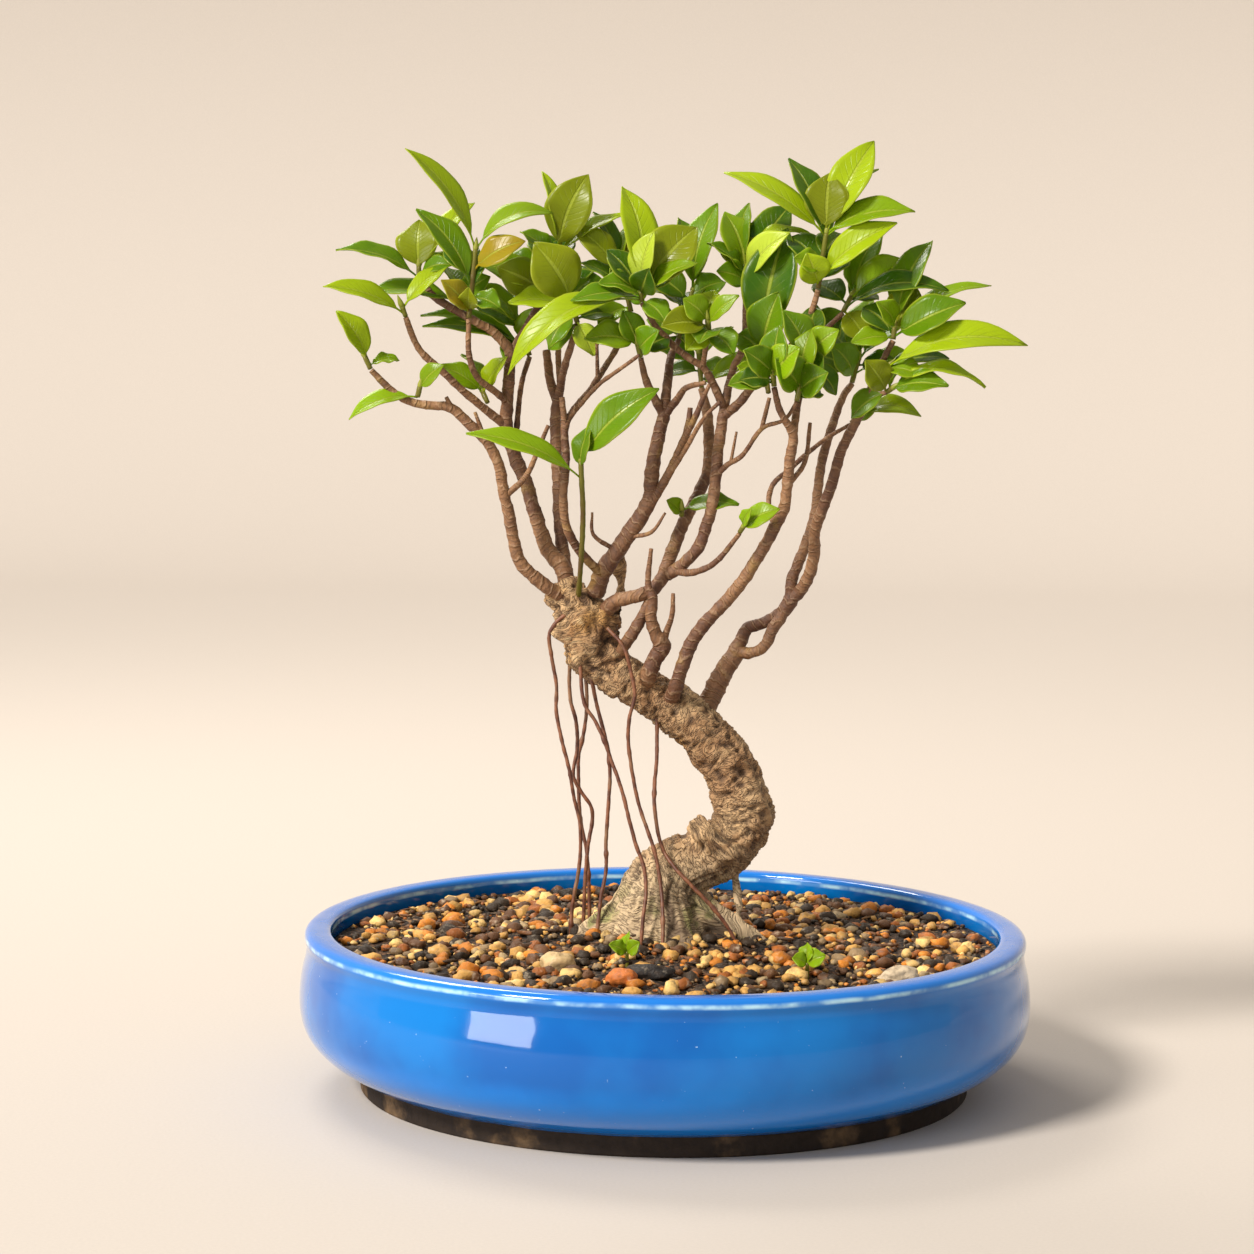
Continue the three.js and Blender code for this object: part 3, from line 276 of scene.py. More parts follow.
earth.bump(1 - crumb_depth * 1.2 + earth.grain(900, 3) * 0.5, 0.0016)
piece("soil_mound", soil_shape, earth, ["soil"])

# ---------------------------------------------------------------- trunk
# The trunk, its surface roots and its knobby head are one growth of wood under tan, wrinkled bark.
# Ring wrinkles and old leaf scars run round it; the flared base is paler, fluted and mossy.


def along_line(points, between, scale=0.001):
    """Points on a smooth line through [x, y, z, radius] points, each a (place, radius) pair."""
    places = [Vector(point[:3]) * scale for point in points]
    radii = [point[3] * scale for point in points]
    ends = [places[0] * 2 - places[1]] + places + [places[-1] * 2 - places[-2]]
    line = []
    for i in range(len(places) - 1):
        before, start, end, after = ends[i:i + 4]
        gaps = [(b - a).length ** 0.5 for a, b in ((before, start), (start, end), (end, after))]
        leave = (start - before) / gaps[0] - (end - before) / (gaps[0] + gaps[1])
        leave = (leave + (end - start) / gaps[1]) * gaps[1]
        arrive = (end - start) / gaps[1] - (after - start) / (gaps[1] + gaps[2])
        arrive = (arrive + (after - end) / gaps[2]) * gaps[1]
        for step in range(between + 1):
            t = step / (between + 1)
            place = start * (2 * t**3 - 3 * t**2 + 1) + leave * (t**3 - 2 * t**2 + t)
            place += end * (3 * t**2 - 2 * t**3) + arrive * (t**3 - t**2)
            line.append((place, radii[i] * (1 - t) + radii[i + 1] * t))
    line.append((places[-1], radii[-1]))
    return line


def evenly(line, spacing):
    """The same line with its points a set distance apart, each (place, radius, distance along)."""
    lengths = [0.0]
    for (first, _), (second, _) in zip(line, line[1:]):
        lengths.append(lengths[-1] + (second - first).length)
    count = max(3, round(lengths[-1] / spacing))
    even, i = [], 0
    for step in range(count + 1):
        target = lengths[-1] * step / count
        while i < len(line) - 2 and lengths[i + 1] < target:
            i += 1
        share = (target - lengths[i]) / max(lengths[i + 1] - lengths[i], 1e-9)
        place = line[i][0].lerp(line[i + 1][0], min(share, 1))
        even.append((place, line[i][1] + (line[i + 1][1] - line[i][1]) * min(share, 1), target))
    return even


def grid_corners(shape, across, along):
    """The corners of a new flat grid by their (row, column)."""
    made = bmesh.ops.create_grid(shape, x_segments=across, y_segments=along, size=1)["verts"]
    return {(round((c.co.y + 1) / 2 * along), round((c.co.x + 1) / 2 * across)): c for c in made}


def stem(shape, even, sides, swelling):
    """A closed round stem along the line; swelling(place, distance, angle, radius) is its relief."""
    layer = shape.verts.layers.float.get("along") or shape.verts.layers.float.new("along")
    rows = [even[0], *even, even[-1]]
    corners = grid_corners(shape, sides, len(rows) - 1)
    aside = Vector((1, 0, 0)) if abs((even[1][0] - even[0][0]).normalized().x) < 0.8 else Vector((0, 1, 0))
    for row, (place, radius, distance) in enumerate(rows):
        inner = min(max(row - 1, 0), len(even) - 1)
        before, after = even[max(inner - 1, 0)][0], even[min(inner + 1, len(even) - 1)][0]
        tangent = (after - before).normalized()
        aside = (aside - tangent * aside.dot(tangent)).normalized()
        across = tangent.cross(aside)
        end = row in (0, len(rows) - 1)
        for side in range(sides + 1):
            angle = 2 * math.pi * (side % sides) / sides
            corner = corners[row, side]
            outward = aside * math.cos(angle) + across * math.sin(angle)
            relief = 0 if end else swelling(place + outward * radius, distance, angle, radius)
            corner.co = place + outward * (0 if end else radius + relief)
            corner[layer] = distance
    bmesh.ops.remove_doubles(shape, verts=list(corners.values()), dist=1e-7)


trunk_line = [
    (-4, 1, 42, 14), (-4, 0, 52, 21), (-4, 0, 62, 22.5), (-3, 0, 72, 19.5), (-1, 0, 83, 15.5),
    (7, 0, 91, 13), (19, 0, 96, 12), (29.5, 0, 105.5, 11.5), (32, 0, 114, 11.5),
    (27.5, 0, 127.5, 11), (18.5, 0, 141, 10.5), (6, 0, 153, 10), (-10, 0, 164, 9),
    (-22, 0, 172, 9.5), (-32, 0, 181, 11.5), (-33.5, 0, 189, 12), (-38, 0, 198, 9.5),
    (-43, 0, 205, 7), (-44, 0, 208, 5),
]
surface_roots = [
    [(0, -6, 76, 9), (4, -20, 67, 7), (8, -34, 60, 5), (11, -46, 52, 2.5)],
    [(6, 0, 77, 9), (22, -4, 68, 7), (36, -8, 60, 5), (48, -12, 52, 2.5)],
    [(-12, -2, 74, 8), (-26, -5, 66, 6), (-38, -9, 58, 4.5), (-50, -12, 50, 2)],
    [(-6, 8, 76, 9), (-10, 24, 67, 7), (-14, 36, 59, 5), (-18, 48, 51, 2.5)],
    [(4, 6, 76, 8), (18, 20, 66, 6), (28, 32, 58, 4), (36, 42, 51, 2)],
    [(27, 0, 100, 1.6), (28, -2, 92, 1.3), (29, -3, 84, 1.2), (30, -4, 75, 1.2), (31, -5, 57, 1)],
]
trunk_details = [
    [(11, -7, 110, 4), (17, -11, 105, 5), (25, -10.5, 99.5, 5), (31, -6, 94, 4)],
    [(-30, -4, 184, 5), (-41, -5, 187, 5.5), (-45, -3, 192, 3.5)],
    [(-24, 3, 184, 3.5), (-20.5, 5, 196, 3), (-20.3, 5, 206, 2.6), (-21, 4, 214, 2.6), (-20.3, 3, 219, 2)
],
]
# The trunk's foot spreads as it enters the soil.
root_flare = [
    (-4, -3, 52, 24), (-4, -3, 60, 22.5), (-4, -2, 67, 20.5), (-3, -1, 76, 17.5), (-1, 0, 86, 14.5),
]

trunk_step = 0.0022
remesh_size = 0.0008
trunk_smooth = bmesh.new()
for lines, sides in (([trunk_line], 40), (surface_roots, 20), (trunk_details, 16)):
    for line in lines:
        stem(trunk_smooth, evenly(along_line(line, 6), trunk_step), sides, lambda *_: 0)
stem(trunk_smooth, evenly(along_line(root_flare, 6), trunk_step), 40, lambda *_: 0)
bmesh.ops.recalc_face_normals(trunk_smooth, faces=trunk_smooth.faces)
rough_mesh = bpy.data.meshes.new("trunk_rough")
trunk_smooth.to_mesh(rough_mesh)
trunk_smooth.free()
rough = bpy.data.objects.new("trunk_rough", rough_mesh)
bpy.context.collection.objects.link(rough)
grown = rough.modifiers.new("grown_together", "REMESH")
grown.mode, grown.voxel_size = "VOXEL", remesh_size
whole = bpy.data.meshes.new_from_object(rough.evaluated_get(bpy.context.evaluated_depsgraph_get()))
bpy.data.objects.remove(rough)
trunk_shape = bmesh.new()
trunk_shape.from_mesh(whole)
bpy.data.meshes.remove(whole)
for _ in range(4):
    bmesh.ops.smooth_vert(
        trunk_shape, verts=trunk_shape.verts, factor=0.5,
        use_axis_x=True, use_axis_y=True, use_axis_z=True,
    )

centre_line = evenly(along_line(trunk_line, 6), 0.002)
nearest = kdtree.KDTree(len(centre_line))
for number, (place, _, _) in enumerate(centre_line):
    nearest.insert(place, number)
nearest.balance()
trunk_wrap = trunk_shape.verts.layers.float_vector.new("wrap")
trunk_relief = trunk_shape.verts.layers.float.new("relief")
trunk_shape.normal_update()
wrinkle_spacing = 2.7
moves = []
for corner in trunk_shape.verts:
    _, number, _ = nearest.find(corner.co)
    place, radius, distance = centre_line[number]
    ahead = centre_line[min(number + 1, len(centre_line) - 1)][0]
    behind = centre_line[max(number - 1, 0)][0]
    tangent = (ahead - behind).normalized()
    distance += (corner.co - place).dot(tangent)
    spoke = corner.co - place
    spoke -= tangent * spoke.dot(tangent)
    aside = tangent.orthogonal()
    angle = math.atan2(spoke.dot(aside), spoke.dot(tangent.cross(aside)))
    mm_place = corner.co * 1000
    height = mm_place.z
    base = max(0.0, min(1.0, (100 - height) / 22))
    head = max(0.0, min(1.0, (height - 168) / 14))
    lumps = noise.noise(mm_place / 13) * 1.5 + noise.noise(mm_place / 6.5 + Vector((7, 0, 0))) * 0.8
    knobs = noise.noise(mm_place / 7 + Vector((0, 9, 3))) * 1.9 * head
    wander = noise.noise(mm_place / 8 + Vector((3, 3, 3))) * 4.5
    wrinkle = distance * 1000 / wrinkle_spacing + wander * 0.2
    wrap = Vector((wrinkle, 1.5 * math.cos(angle), 1.5 * math.sin(angle)))
    rings = 1 - abs(noise.noise(wrap)) * 2.6
    scales = 1 - abs(noise.noise(Vector((wrap.x * 0.62, wrap.y * 1.9, wrap.z * 1.9)))) * 2.4
    flutes = 1 - abs(noise.noise(Vector((height / 30, wrap.y * 3.2, wrap.z * 3.2)))) * 2.4
    wrinkles = (rings * 0.85 + scales * 0.7 - 0.75) * (1 - 0.8 * base)
    relief = wrinkles + base * (flutes * 1.6 - 0.7) + knobs * 0.6
    moves.append(corner.normal * (lumps * (1 - 0.4 * base) + relief + knobs) / 1000)
    corner[trunk_wrap] = wrap
    corner[trunk_relief] = 0.5 + relief * 0.30
for corner, move in zip(trunk_shape.verts, moves):
    corner.co += move

bark = Finish("tan_bark", Roughness=0.72)
relief = bark.attribute("relief")
up = bark.height()
round_trunk = bark.attribute("wrap", "Vector")
fine = bark.grain(2.3, 5, place=round_trunk, roughness=0.62)
crack_turns = bark.grain(1.15, 3, place=round_trunk) * 7
thread = bark.node("ShaderNodeMath", {"operation": "PINGPONG"}, {0: crack_turns, 1: 0.5})
patches = bark.grain(55, 4)
crust = bark.grain(160, 4)
worn = bark.blend(bark.step(patches, 0.38, 0.62), (0.35, 0.195, 0.088), (0.53, 0.345, 0.175))
worn = bark.blend(bark.step(crust, 0.50, 0.68) * 0.7, worn, (0.22, 0.10, 0.032))
gold = bark.step(bark.grain(60, 4, roughness=0.5), 0.55, 0.70) * bark.step(up, 0.10, 0.125)
worn = bark.blend(gold * 0.42, worn, (0.55, 0.27, 0.04))
ashen = bark.step(up, 0.082, 0.105, 1, 0)
worn = bark.blend(ashen * 0.7, worn, (0.54, 0.42, 0.26))
moss = bark.step(bark.grain(75, 4), 0.53, 0.62) * bark.step(up, 0.064, 0.094, 1, 0)
worn = bark.blend(moss * 0.75, worn, (0.16, 0.19, 0.03))
worn = bark.blend(bark.step(thread, 0.0, 0.13, 1, 0) * 0.8, worn, (0.060, 0.027, 0.013))
# Painted shade: the bark is darkened in its low creases, where the relief sinks.
painted_crease_shade = bark.step(relief + (fine - 0.5) * 0.45, 0.12, 0.52, 1, 0)
worn = bark.blend(painted_crease_shade * 0.78, worn, (0.060, 0.030, 0.015))
# Painted highlight: the raised ridges of the relief are lightened to a pale tan.
painted_ridge_highlight = bark.step(relief + (fine - 0.5) * 0.6, 0.60, 0.95)
bark.put("Base Color", bark.blend(painted_ridge_highlight * 0.6, worn, (0.82, 0.60, 0.32)))
bark.bump(fine * 1.2 + bark.step(thread, 0, 0.3) * 0.5 + crust * 0.4, 0.0011)
piece("trunk_wood", trunk_shape, bark, ["trunk"])

# ---------------------------------------------------------------- branches
# Thin, tough branches fan out from the head and the bends. Their brown bark has a raised, paler
# ring at each old leaf scar, closer together on the twigs, and a few dead stubs stay on them.
branches = {
    "far_left": [
        [(-41, -1, 201, 3), (-47, -4, 204, 2.9), (-53, -6, 208.5, 2.8), (-60.5, -8, 216, 2.6),
         (-63.5, -9, 226, 2.5), (-65, -10, 235, 2.4), (-67, -11, 243, 2.3), (-69.5, -12, 256, 2.2),
         (-74, -13, 265, 2.1), (-80.6, -14, 271.5, 2), (-89.5, -15, 279, 1.9), (-96, -16, 279.5, 1.7),
         (-106, -16, 281.3, 1.6), (-113, -17, 286, 1.4), (-120.5, -18, 293.5, 1.2)],
        [(-67, -11, 243, 1.4), (-58.5, -12, 251, 1.2), (-54, -13, 261, 1.1), (-49.5, -14, 272, 0.8)],
        [(-75, -13, 266, 1.1), (-79, -15, 277, 0.7)],
        [(-88, -15, 278, 1.2), (-90.5, -16, 283, 0.8)],
    ],
    "left": [
        [(-40, 3, 202, 3.6), (-44, 4, 213.5, 3.4), (-50, 5, 220.5, 3.2), (-53, 6, 228, 3),
         (-56, 7, 237, 2.9), (-59.5, 8, 248.5, 2.8), (-63, 8, 256, 2.7), (-66, 9, 264.5, 2.6),
         (-67.5, 9, 272, 2.6), (-67, 8, 281, 2.5), (-66.5, 7, 291, 2.4), (-66, 6, 300.5, 2.2),
         (-72.5, 5, 308.5, 1.8), (-80, 3, 313, 1.7), (-91.5, 2, 319.5, 1.6), (-97, 2, 323, 1.5),
         (-103, 2, 330, 1.2)],
        [(-66, 6, 299, 2), (-59.5, 8, 311, 1.6), (-53, 10, 323, 1.3)],
        [(-67.5, 9, 271, 2), (-73, 6, 275, 1.7), (-80, 2, 281, 1.6), (-87.5, -1, 287.5, 1.5),
         (-92, -3, 292, 1.5), (-101.3, -5, 300.5, 1.4), (-104, -6, 305, 1.3), (-107.5, -8, 314.5, 1.2)],
        [(-106, -7, 310, 1), (-108.7, -7, 319, 0.5)],
        [(-67, 8, 280, 1.5), (-71, 3, 284, 1.4), (-79, -4, 291, 1.3), (-82, -7, 300, 1.2),
         (-82, -8, 314, 1)],
        [(-64, 8, 259, 1.3), (-63, 12, 273.5, 1.2), (-61.5, 15, 288, 1.1), (-58.5, 18, 298.5, 1)],
    ],
    "upright": [
        [(-41, 5, 203, 2.8), (-43.3, 9, 216.5, 2.6), (-44.7, 11, 224.5, 2.5), (-45.8, 14, 237, 2.5),
         (-46.3, 17, 249, 2.4), (-47.4, 20, 263, 2.4), (-47.8, 22, 273.5, 2.3), (-47, 23, 280.5, 2.2),
         (-45.7, 21, 287, 1.6), (-44.3, 16, 293.5, 1.5), (-41.4, 8, 303, 1.4), (-38.5, 0, 312.5, 1.1)],
        [(-47, 23, 280, 2), (-50, 25, 288, 1.9), (-52, 28, 301, 1.7)],
        [(-46, 22, 286, 1.3), (-47, 26, 299.5, 1.2), (-46.3, 28, 312, 1)],
    ],
    "centre": [
        [(-30, -2, 203, 3.8), (-26.5, -6, 213.5, 3.6), (-21, -8, 221.5, 3.5), (-16, -10, 229.5, 3.3),
         (-11.5, -12, 236, 3.2), (-8, -13, 244, 3.1), (-7.8, -13, 250.5, 3), (-6.5, -12, 261, 2.8),
         (-4.5, -11, 270, 2.7), (-3, -10, 276.5, 2.5), (-2.4, -8, 284, 2), (-1.5, -4, 291.5, 1.8),
         (-0.4, 2, 300, 1.5), (2.4, 8, 306, 1.2)],
        [(-3, -10, 276, 1.9), (-6.8, -12, 283, 1.7), (-10.4, -14, 290.5, 1.5), (-12.6, -15, 299.5, 1.1)],
        [(-3, -10, 276, 1.8), (2.7, -12, 283.5, 1.5), (5.5, -14, 287.5, 1.3), (13.5, -18, 290, 0.9)],
        [(-8.5, -13, 240, 2), (-2.3, -16, 250.5, 1.8), (2, -18, 259.5, 1.7), (5, -20, 267, 1.6),
         (9.8, -24, 277, 1.2), (12.7, -26, 284.5, 1), (15, -28, 289.5, 0.8)],
        [(5, -20, 266, 1.4), (7, -21, 275, 1.3), (7.5, -20.5, 280, 1.1)],
        [(-2, -16, 251, 1.2), (5, -22, 262, 1), (10.6, -27, 272.5, 0.9), (14.3, -30, 278, 0.8),
         (19.3, -32, 283, 0.8)],
        [(-21, -8, 221, 1.1), (-31, -11, 228, 0.8), (-31.5, -12, 237, 0.5)],
        [(-17, -10, 227, 1.1), (-7.5, -15, 229.5, 0.8), (-2, -17, 237.5, 0.5)],
    ],
    "yellow": [
        [(-28, -7, 212, 1.9), (-37, -12, 222, 1.8), (-42, -16, 232.5, 1.7), (-43, -18, 245, 1.7),
         (-42, -18, 258.5, 1.6), (-42.6, -17, 272, 1.6), (-39, -14, 278.5, 1.5), (-32.5, -8, 286.5, 1.4),
         (-29.5, -4, 291.5, 1.3), (-26, 2, 297, 1.3), (-22, 6, 304, 1.2), (-17, 10, 317, 1.1)],
        [(-42.6, -17, 270, 1.4), (-44, -18, 283.5, 1.1)],
        [(-38, -13, 279, 1.1), (-29, -20, 289, 0.9), (-21, -25, 295, 0.8), (-13, -30, 301, 0.7)],
        [(-30, -5, 290, 0.9), (-30.5, -9, 309, 0.6)],
    ],
    "right_of_centre": [
        [(-27, -4, 196, 3), (-21, -8, 201, 2.9), (-14, -10, 203, 2.8), (-7, -10, 205.5, 2.8),
         (-3.3, -9, 210, 2.7), (-0.7, -7, 217, 2.7), (2, -4, 224, 2.6), (6.3, 0, 234, 2.6),
         (11, 4, 243, 2.5), (15, 8, 252.5, 2.4), (15.7, 12, 262.5, 2.3), (15, 16, 272.5, 2.2),
         (14, 19, 280, 1.8), (12.3, 22, 286, 1.4)],
        [(-20, -5, 178, 2.5), (-18.5, -8, 182, 2.4), (-14.3, -10, 188.5, 2.4), (-10, -10, 196.5, 2.3),
         (-6.5, -10, 204, 2.2)],
    ],
    "tall_right": [
        [(-1, -9, 211.5, 2.5), (6, -12, 217, 2.4), (11.5, -13, 223.5, 2.4), (15, -14, 233.5, 2.4),
         (17.3, -14, 244, 2.3), (18.3, -13, 253, 2.3), (19, -12, 262.5, 2.2), (20, -10, 271, 2.2),
         (20.8, -9, 277, 2.1), (23, -6, 288.5, 1.6), (25, -4, 296, 1.5), (28, -3, 302, 1.5),
         (29.5, -2, 310.5, 1.4), (29.5, -1, 320, 1.3), (29.5, 0, 329.5, 1.1)],
        [(21, -9, 280, 1.8), (17, -9, 288.5, 1.6), (12.5, -10, 296, 1.5), (7.5, -11, 299, 1.4),
         (1, -12, 304, 1.4), (-3.5, -12, 308.5, 1.3), (-8, -13, 314, 1.2), (-12.3, -14, 321.5, 1.1)],
        [(12.5, -10, 296, 1.2), (13.5, -14, 304.5, 1), (14.7, -18, 309.5, 0.9)],
        [(20.6, -9, 276, 2), (27, -11, 281.5, 1.8), (33, -12, 289, 1.7), (39.5, -13, 294.5, 1.6),
         (44.5, -13, 299.5, 1.5), (48, -14, 305.5, 1.4), (52.3, -15, 312, 1.3), (56, -16, 320, 1.2),
         (58, -16, 327.5, 1.1)],
        [(44, -13, 299, 1.4), (50, -10, 301.5, 1.3), (60, -6, 310, 1.1), (68.7, -3, 318, 1)],
        [(18, -13, 252, 1.3), (22.7, -16, 257, 1.1), (28.5, -20, 261, 1), (36.5, -25, 272.5, 0.9),
         (45, -28, 276, 0.8), (49.7, -30, 283, 0.8)],
        [(24, -17, 258, 0.8), (26.2, -17, 270.5, 0.5)],
        [(36, -25, 272, 0.9), (39, -24, 284.5, 0.8)],
        [(1.5, -10, 213.5, 1.6), (9, -17, 213.5, 1.4), (18, -23, 218, 1.2), (27.8, -29, 230.5, 0.9)],
    ],
    "right": [
        [(0, -4, 159, 3.2), (3, -11, 166, 3), (5.3, -13, 174, 2.8), (9, -14, 184.5, 2.8),
         (14.3, -16, 192.5, 2.7), (21.3, -18, 200.5, 2.6), (30, -20, 211.5, 2.5), (36, -22, 221.5, 2.5),
         (42, -24, 233, 2.4), (45.5, -26, 241, 2.3), (46.5, -27, 250, 2.2), (47.5, -28, 260.5, 2.1),
         (48.5, -29, 270.5, 2), (45, -32, 276, 1.5), (42.5, -33, 281, 1.3), (40.5, -34, 289, 1.1)],
        [(48.5, -29, 270, 1.7), (49.5, -25, 277.5, 1.6), (51.3, -24, 287.5, 1.4), (53.5, -24, 293, 1.2)],
        [(47, -27, 250, 1.2), (53.3, -24, 258.5, 1), (55.5, -20, 274.5, 0.8)],
        [(42, -24, 233, 1.3), (39.5, -18, 241, 1.1), (41, -14, 249, 1.1), (48.5, -10, 255.5, 1),
         (54, -6, 260.5, 1), (64, 0, 268, 0.9), (73, 4, 273, 0.8)],
    ],
    "far_right": [
        [(12, 4, 150, 4.6), (17.7, 7, 160, 4.3), (21.3, 7, 168, 4.1), (26, 7, 176, 3.9),
         (29.5, 8, 183, 2.8), (32, 9, 188.5, 2.4), (37.5, 9, 190.5, 2.4), (43.7, 8, 193.5, 2.6),
         (47.5, 7, 197, 3), (50, 7, 201.5, 3), (50, 8, 208, 2.4), (52.5, 10, 215, 2.3),
         (56, 12, 224, 2.2), (59.5, 15, 235.5, 2.1), (60.5, 18, 245, 2), (63, 22, 260.5, 1.9),
         (66.5, 25, 271.5, 1.8), (71, 29, 283.5, 1.5), (74.5, 31, 288.5, 1.3)],
        [(28, 7, 179, 2.8), (34, 4, 179, 2.2), (39.5, 3, 182.5, 2.2), (42, 4, 188, 2.4), (47, 7, 196, 2.6)
],
        [(50, 7, 201, 2.8), (53.7, 5, 205, 2.6), (57, 3, 211.5, 2.5), (58.8, 1, 220.5, 2.4),
         (58.8, -2, 229.5, 2.4), (61.5, -5, 238.5, 2.3), (65.5, -8, 250.5, 2.2), (68, -10, 261, 2.1),
         (71.5, -12, 269.5, 2), (75, -13, 276.5, 1.9), (79, -14, 284, 1.8), (81, -14, 292, 1.6),
         (88.5, -14, 307.5, 1.2)],
        [(79, -14, 284, 1.2), (86, -17, 287, 0.9)],
    ],
    "knobby": [
        [(-9, -4, 166, 3.6), (-8, -10, 171.5, 3.4), (-5.3, -11, 178, 3.2), (-2.7, -12, 183, 3.8),
         (-5.5, -14, 188.5, 2.6), (-7.3, -15, 195.5, 2.4), (-6.5, -16, 203, 2), (-8.5, -16, 208, 1.3),
         (-7.5, -17, 223, 0.8)],
        [(-2.7, -12, 183, 1.8), (-1, -13, 189, 1.3), (1.2, -16, 196, 1.1), (1.5, -17, 205, 0.8)],
    ],
}


def ringed(seed, spacing):
    """Relief of a branch: a raised ring at each old leaf scar, and a slight waver between."""

    def swelling(place, distance, angle, radius):
        turn = distance / spacing + noise.noise(Vector((distance * 90, seed, 0))) * 0.5
        from_ring = abs((turn + 0.12 * math.sin(angle + seed)) % 1 - 0.5)
        ring = math.exp(-((from_ring / 0.13) ** 2))
        waver = noise.noise(place * 260 + Vector((seed, 0, 0)))
        return radius * (0.085 * ring + 0.15 * waver)

    return swelling


scar_spacing = 4.6
twig_bark = Finish("ringed_brown_bark", Roughness=0.62)
along = twig_bark.attribute("along")
wood_fine = twig_bark.grain(900, 4)
wood_patch = twig_bark.grain(48, 3)
patchy = twig_bark.step(wood_patch, 0.36, 0.64)
wood = twig_bark.blend(patchy, (0.115, 0.046, 0.020), (0.27, 0.135, 0.058))
scar = along * 1000 / scar_spacing + twig_bark.grain(110, 3) * 2.6
from_scar = twig_bark.node("ShaderNodeMath", {"operation": "PINGPONG"}, {0: scar, 1: 0.5})
pale_ring = twig_bark.step(from_scar, 0.36, 0.48) * 0.34
wood = twig_bark.blend(pale_ring, wood, (0.40, 0.26, 0.145))
dark_ring = twig_bark.step(from_scar, 0.02, 0.12, 1, 0) * 0.38
wood = twig_bark.blend(dark_ring, wood, (0.045, 0.020, 0.011))
lichen = twig_bark.step(twig_bark.grain(70, 3), 0.60, 0.70) * 0.45
wood = twig_bark.blend(lichen, wood, (0.33, 0.20, 0.05))
flecks = twig_bark.step(wood_fine, 0.55, 0.75) * 0.4
twig_bark.put("Base Color", twig_bark.blend(flecks, wood, (0.045, 0.022, 0.012)))
twig_bark.bump(wood_fine + twig_bark.step(from_scar, 0.3, 0.5), 0.0004)

for number, (name, lines) in enumerate(branches.items()):
    branch_shape = bmesh.new()
    for twig, line in enumerate(lines):
        even = evenly(along_line(line, 4), 0.0009)
        sides = 12 if line[0][3] > 2 else 9
        stem(branch_shape, even, sides, ringed(number * 7.3 + twig, scar_spacing / 1000))
    bmesh.ops.recalc_face_normals(branch_shape, faces=branch_shape.faces)
    piece("wood_" + name, branch_shape, twig_bark, ["branch_" + name])

# ---------------------------------------------------------------- aerial roots
# Thin red-brown roots hang from the trunk's head and its bends down into the soil, a little kinked,
# with small nodules where they meant to branch.
aerial_roots = [
    [(-39.6, -6, 196), (-44.5, -7, 193), (-48.5, -7, 187), (-47.5, -6, 177), (-45.5, -6, 166),
     (-45.5, -6, 155.5), (-43, -7, 143), (-39.7, -8, 130.5), (-37.8, -8, 119.5), (-35.5, -8, 110.5),
     (-35, -8, 99.5), (-35.7, -8, 90), (-38, -8, 76), (-39, -8, 57)],
    [(-40, 2, 182), (-40.5, 2, 169), (-40, 2, 159), (-37.5, 1, 150), (-37, 1, 138.5), (-38.5, 0, 128),
     (-35, 0, 121), (-31, 0, 115), (-30.5, 0, 109), (-32, -1, 100), (-33, -1, 88), (-34, -1, 57)],
    [(-36, -8, 176), (-34, -10, 159), (-29.5, -11, 152), (-26, -12, 145), (-22.3, -13, 135),
     (-18.5, -15, 125), (-15, -17, 112), (-12.3, -18, 102.5), (-9, -20, 94), (-8, -23, 84), (-9, -27, 74),
     (-10, -30, 57)],
    [(-35, 6, 175), (-33.5, 6, 163), (-33.5, 7, 154), (-34.5, 7, 145), (-36.5, 7, 135.5),
     (-36.5, 6, 126.5), (-35.5, 6, 108.5), (-33, 5, 97), (-32, 5, 87), (-31, 5, 57)],
    [(-32.3, -3, 174), (-29.5, -4, 159.5), (-26.5, -5, 148.5), (-24, -5, 138), (-23.3, -5, 129),
     (-23.7, -6, 119.5), (-24.3, -6, 109), (-24.7, -6, 101), (-24.5, -7, 90), (-26.5, -9, 78.5),
     (-28.5, -12, 57)],
    [(-25, -10, 190), (-18.5, -13.5, 183), (-15, -13.5, 172), (-13.5, -14, 163), (-15.5, -14, 154),
     (-16, -13, 145), (-14, -13, 130.5), (-11.5, -14, 119), (-8, -16, 109), (-4.5, -18, 99),
     (-2, -21, 86), (-1, -27, 74), (-1, -33, 57)],
    [(-4.5, -3, 157), (-4.3, -8, 136), (-5, -9, 127), (-5, -11, 118), (-3.5, -12, 107), (-0.8, -14, 99),
     (3.8, -18, 93), (11, -21, 86), (20, -23, 77), (27.7, -24, 66), (30, -24, 57)],
]

root_bark = Finish("red_brown_root", Roughness=0.5)
root_grain = root_bark.grain(260, 4)
uneven = root_bark.step(root_grain, 0.35, 0.65)
reddish = root_bark.blend(uneven, (0.090, 0.026, 0.011), (0.22, 0.082, 0.035))
greyed = root_bark.step(root_bark.grain(60, 3), 0.55, 0.7)
root_bark.put("Base Color", root_bark.blend(greyed * 0.6, reddish, (0.28, 0.16, 0.08)))
root_bark.bump(root_grain, 0.0004)


def nodules(seed):
    """Relief of an aerial root: small nodules here and there."""

    def swelling(place, distance, angle, radius):
        knot = max(0.0, noise.noise(Vector((distance * 160, seed, 0))) - 0.35) * 1.6
        return radius * (knot + 0.22 * noise.noise(place * 420 + Vector((0, seed, 0))))

    return swelling


root_radius = 0.78
for number, line in enumerate(aerial_roots):
    root_shape = bmesh.new()
    thick = [(*point, root_radius) for point in line]
    stem(root_shape, evenly(along_line(thick, 4), 0.001), 8, nodules(number * 3.1))
    bmesh.ops.recalc_face_normals(root_shape, faces=root_shape.faces)
    stands_for = [f"aerial_root_{number + 1}"]
    piece(f"hanging_root_{number + 1}", root_shape, root_bark, stands_for)

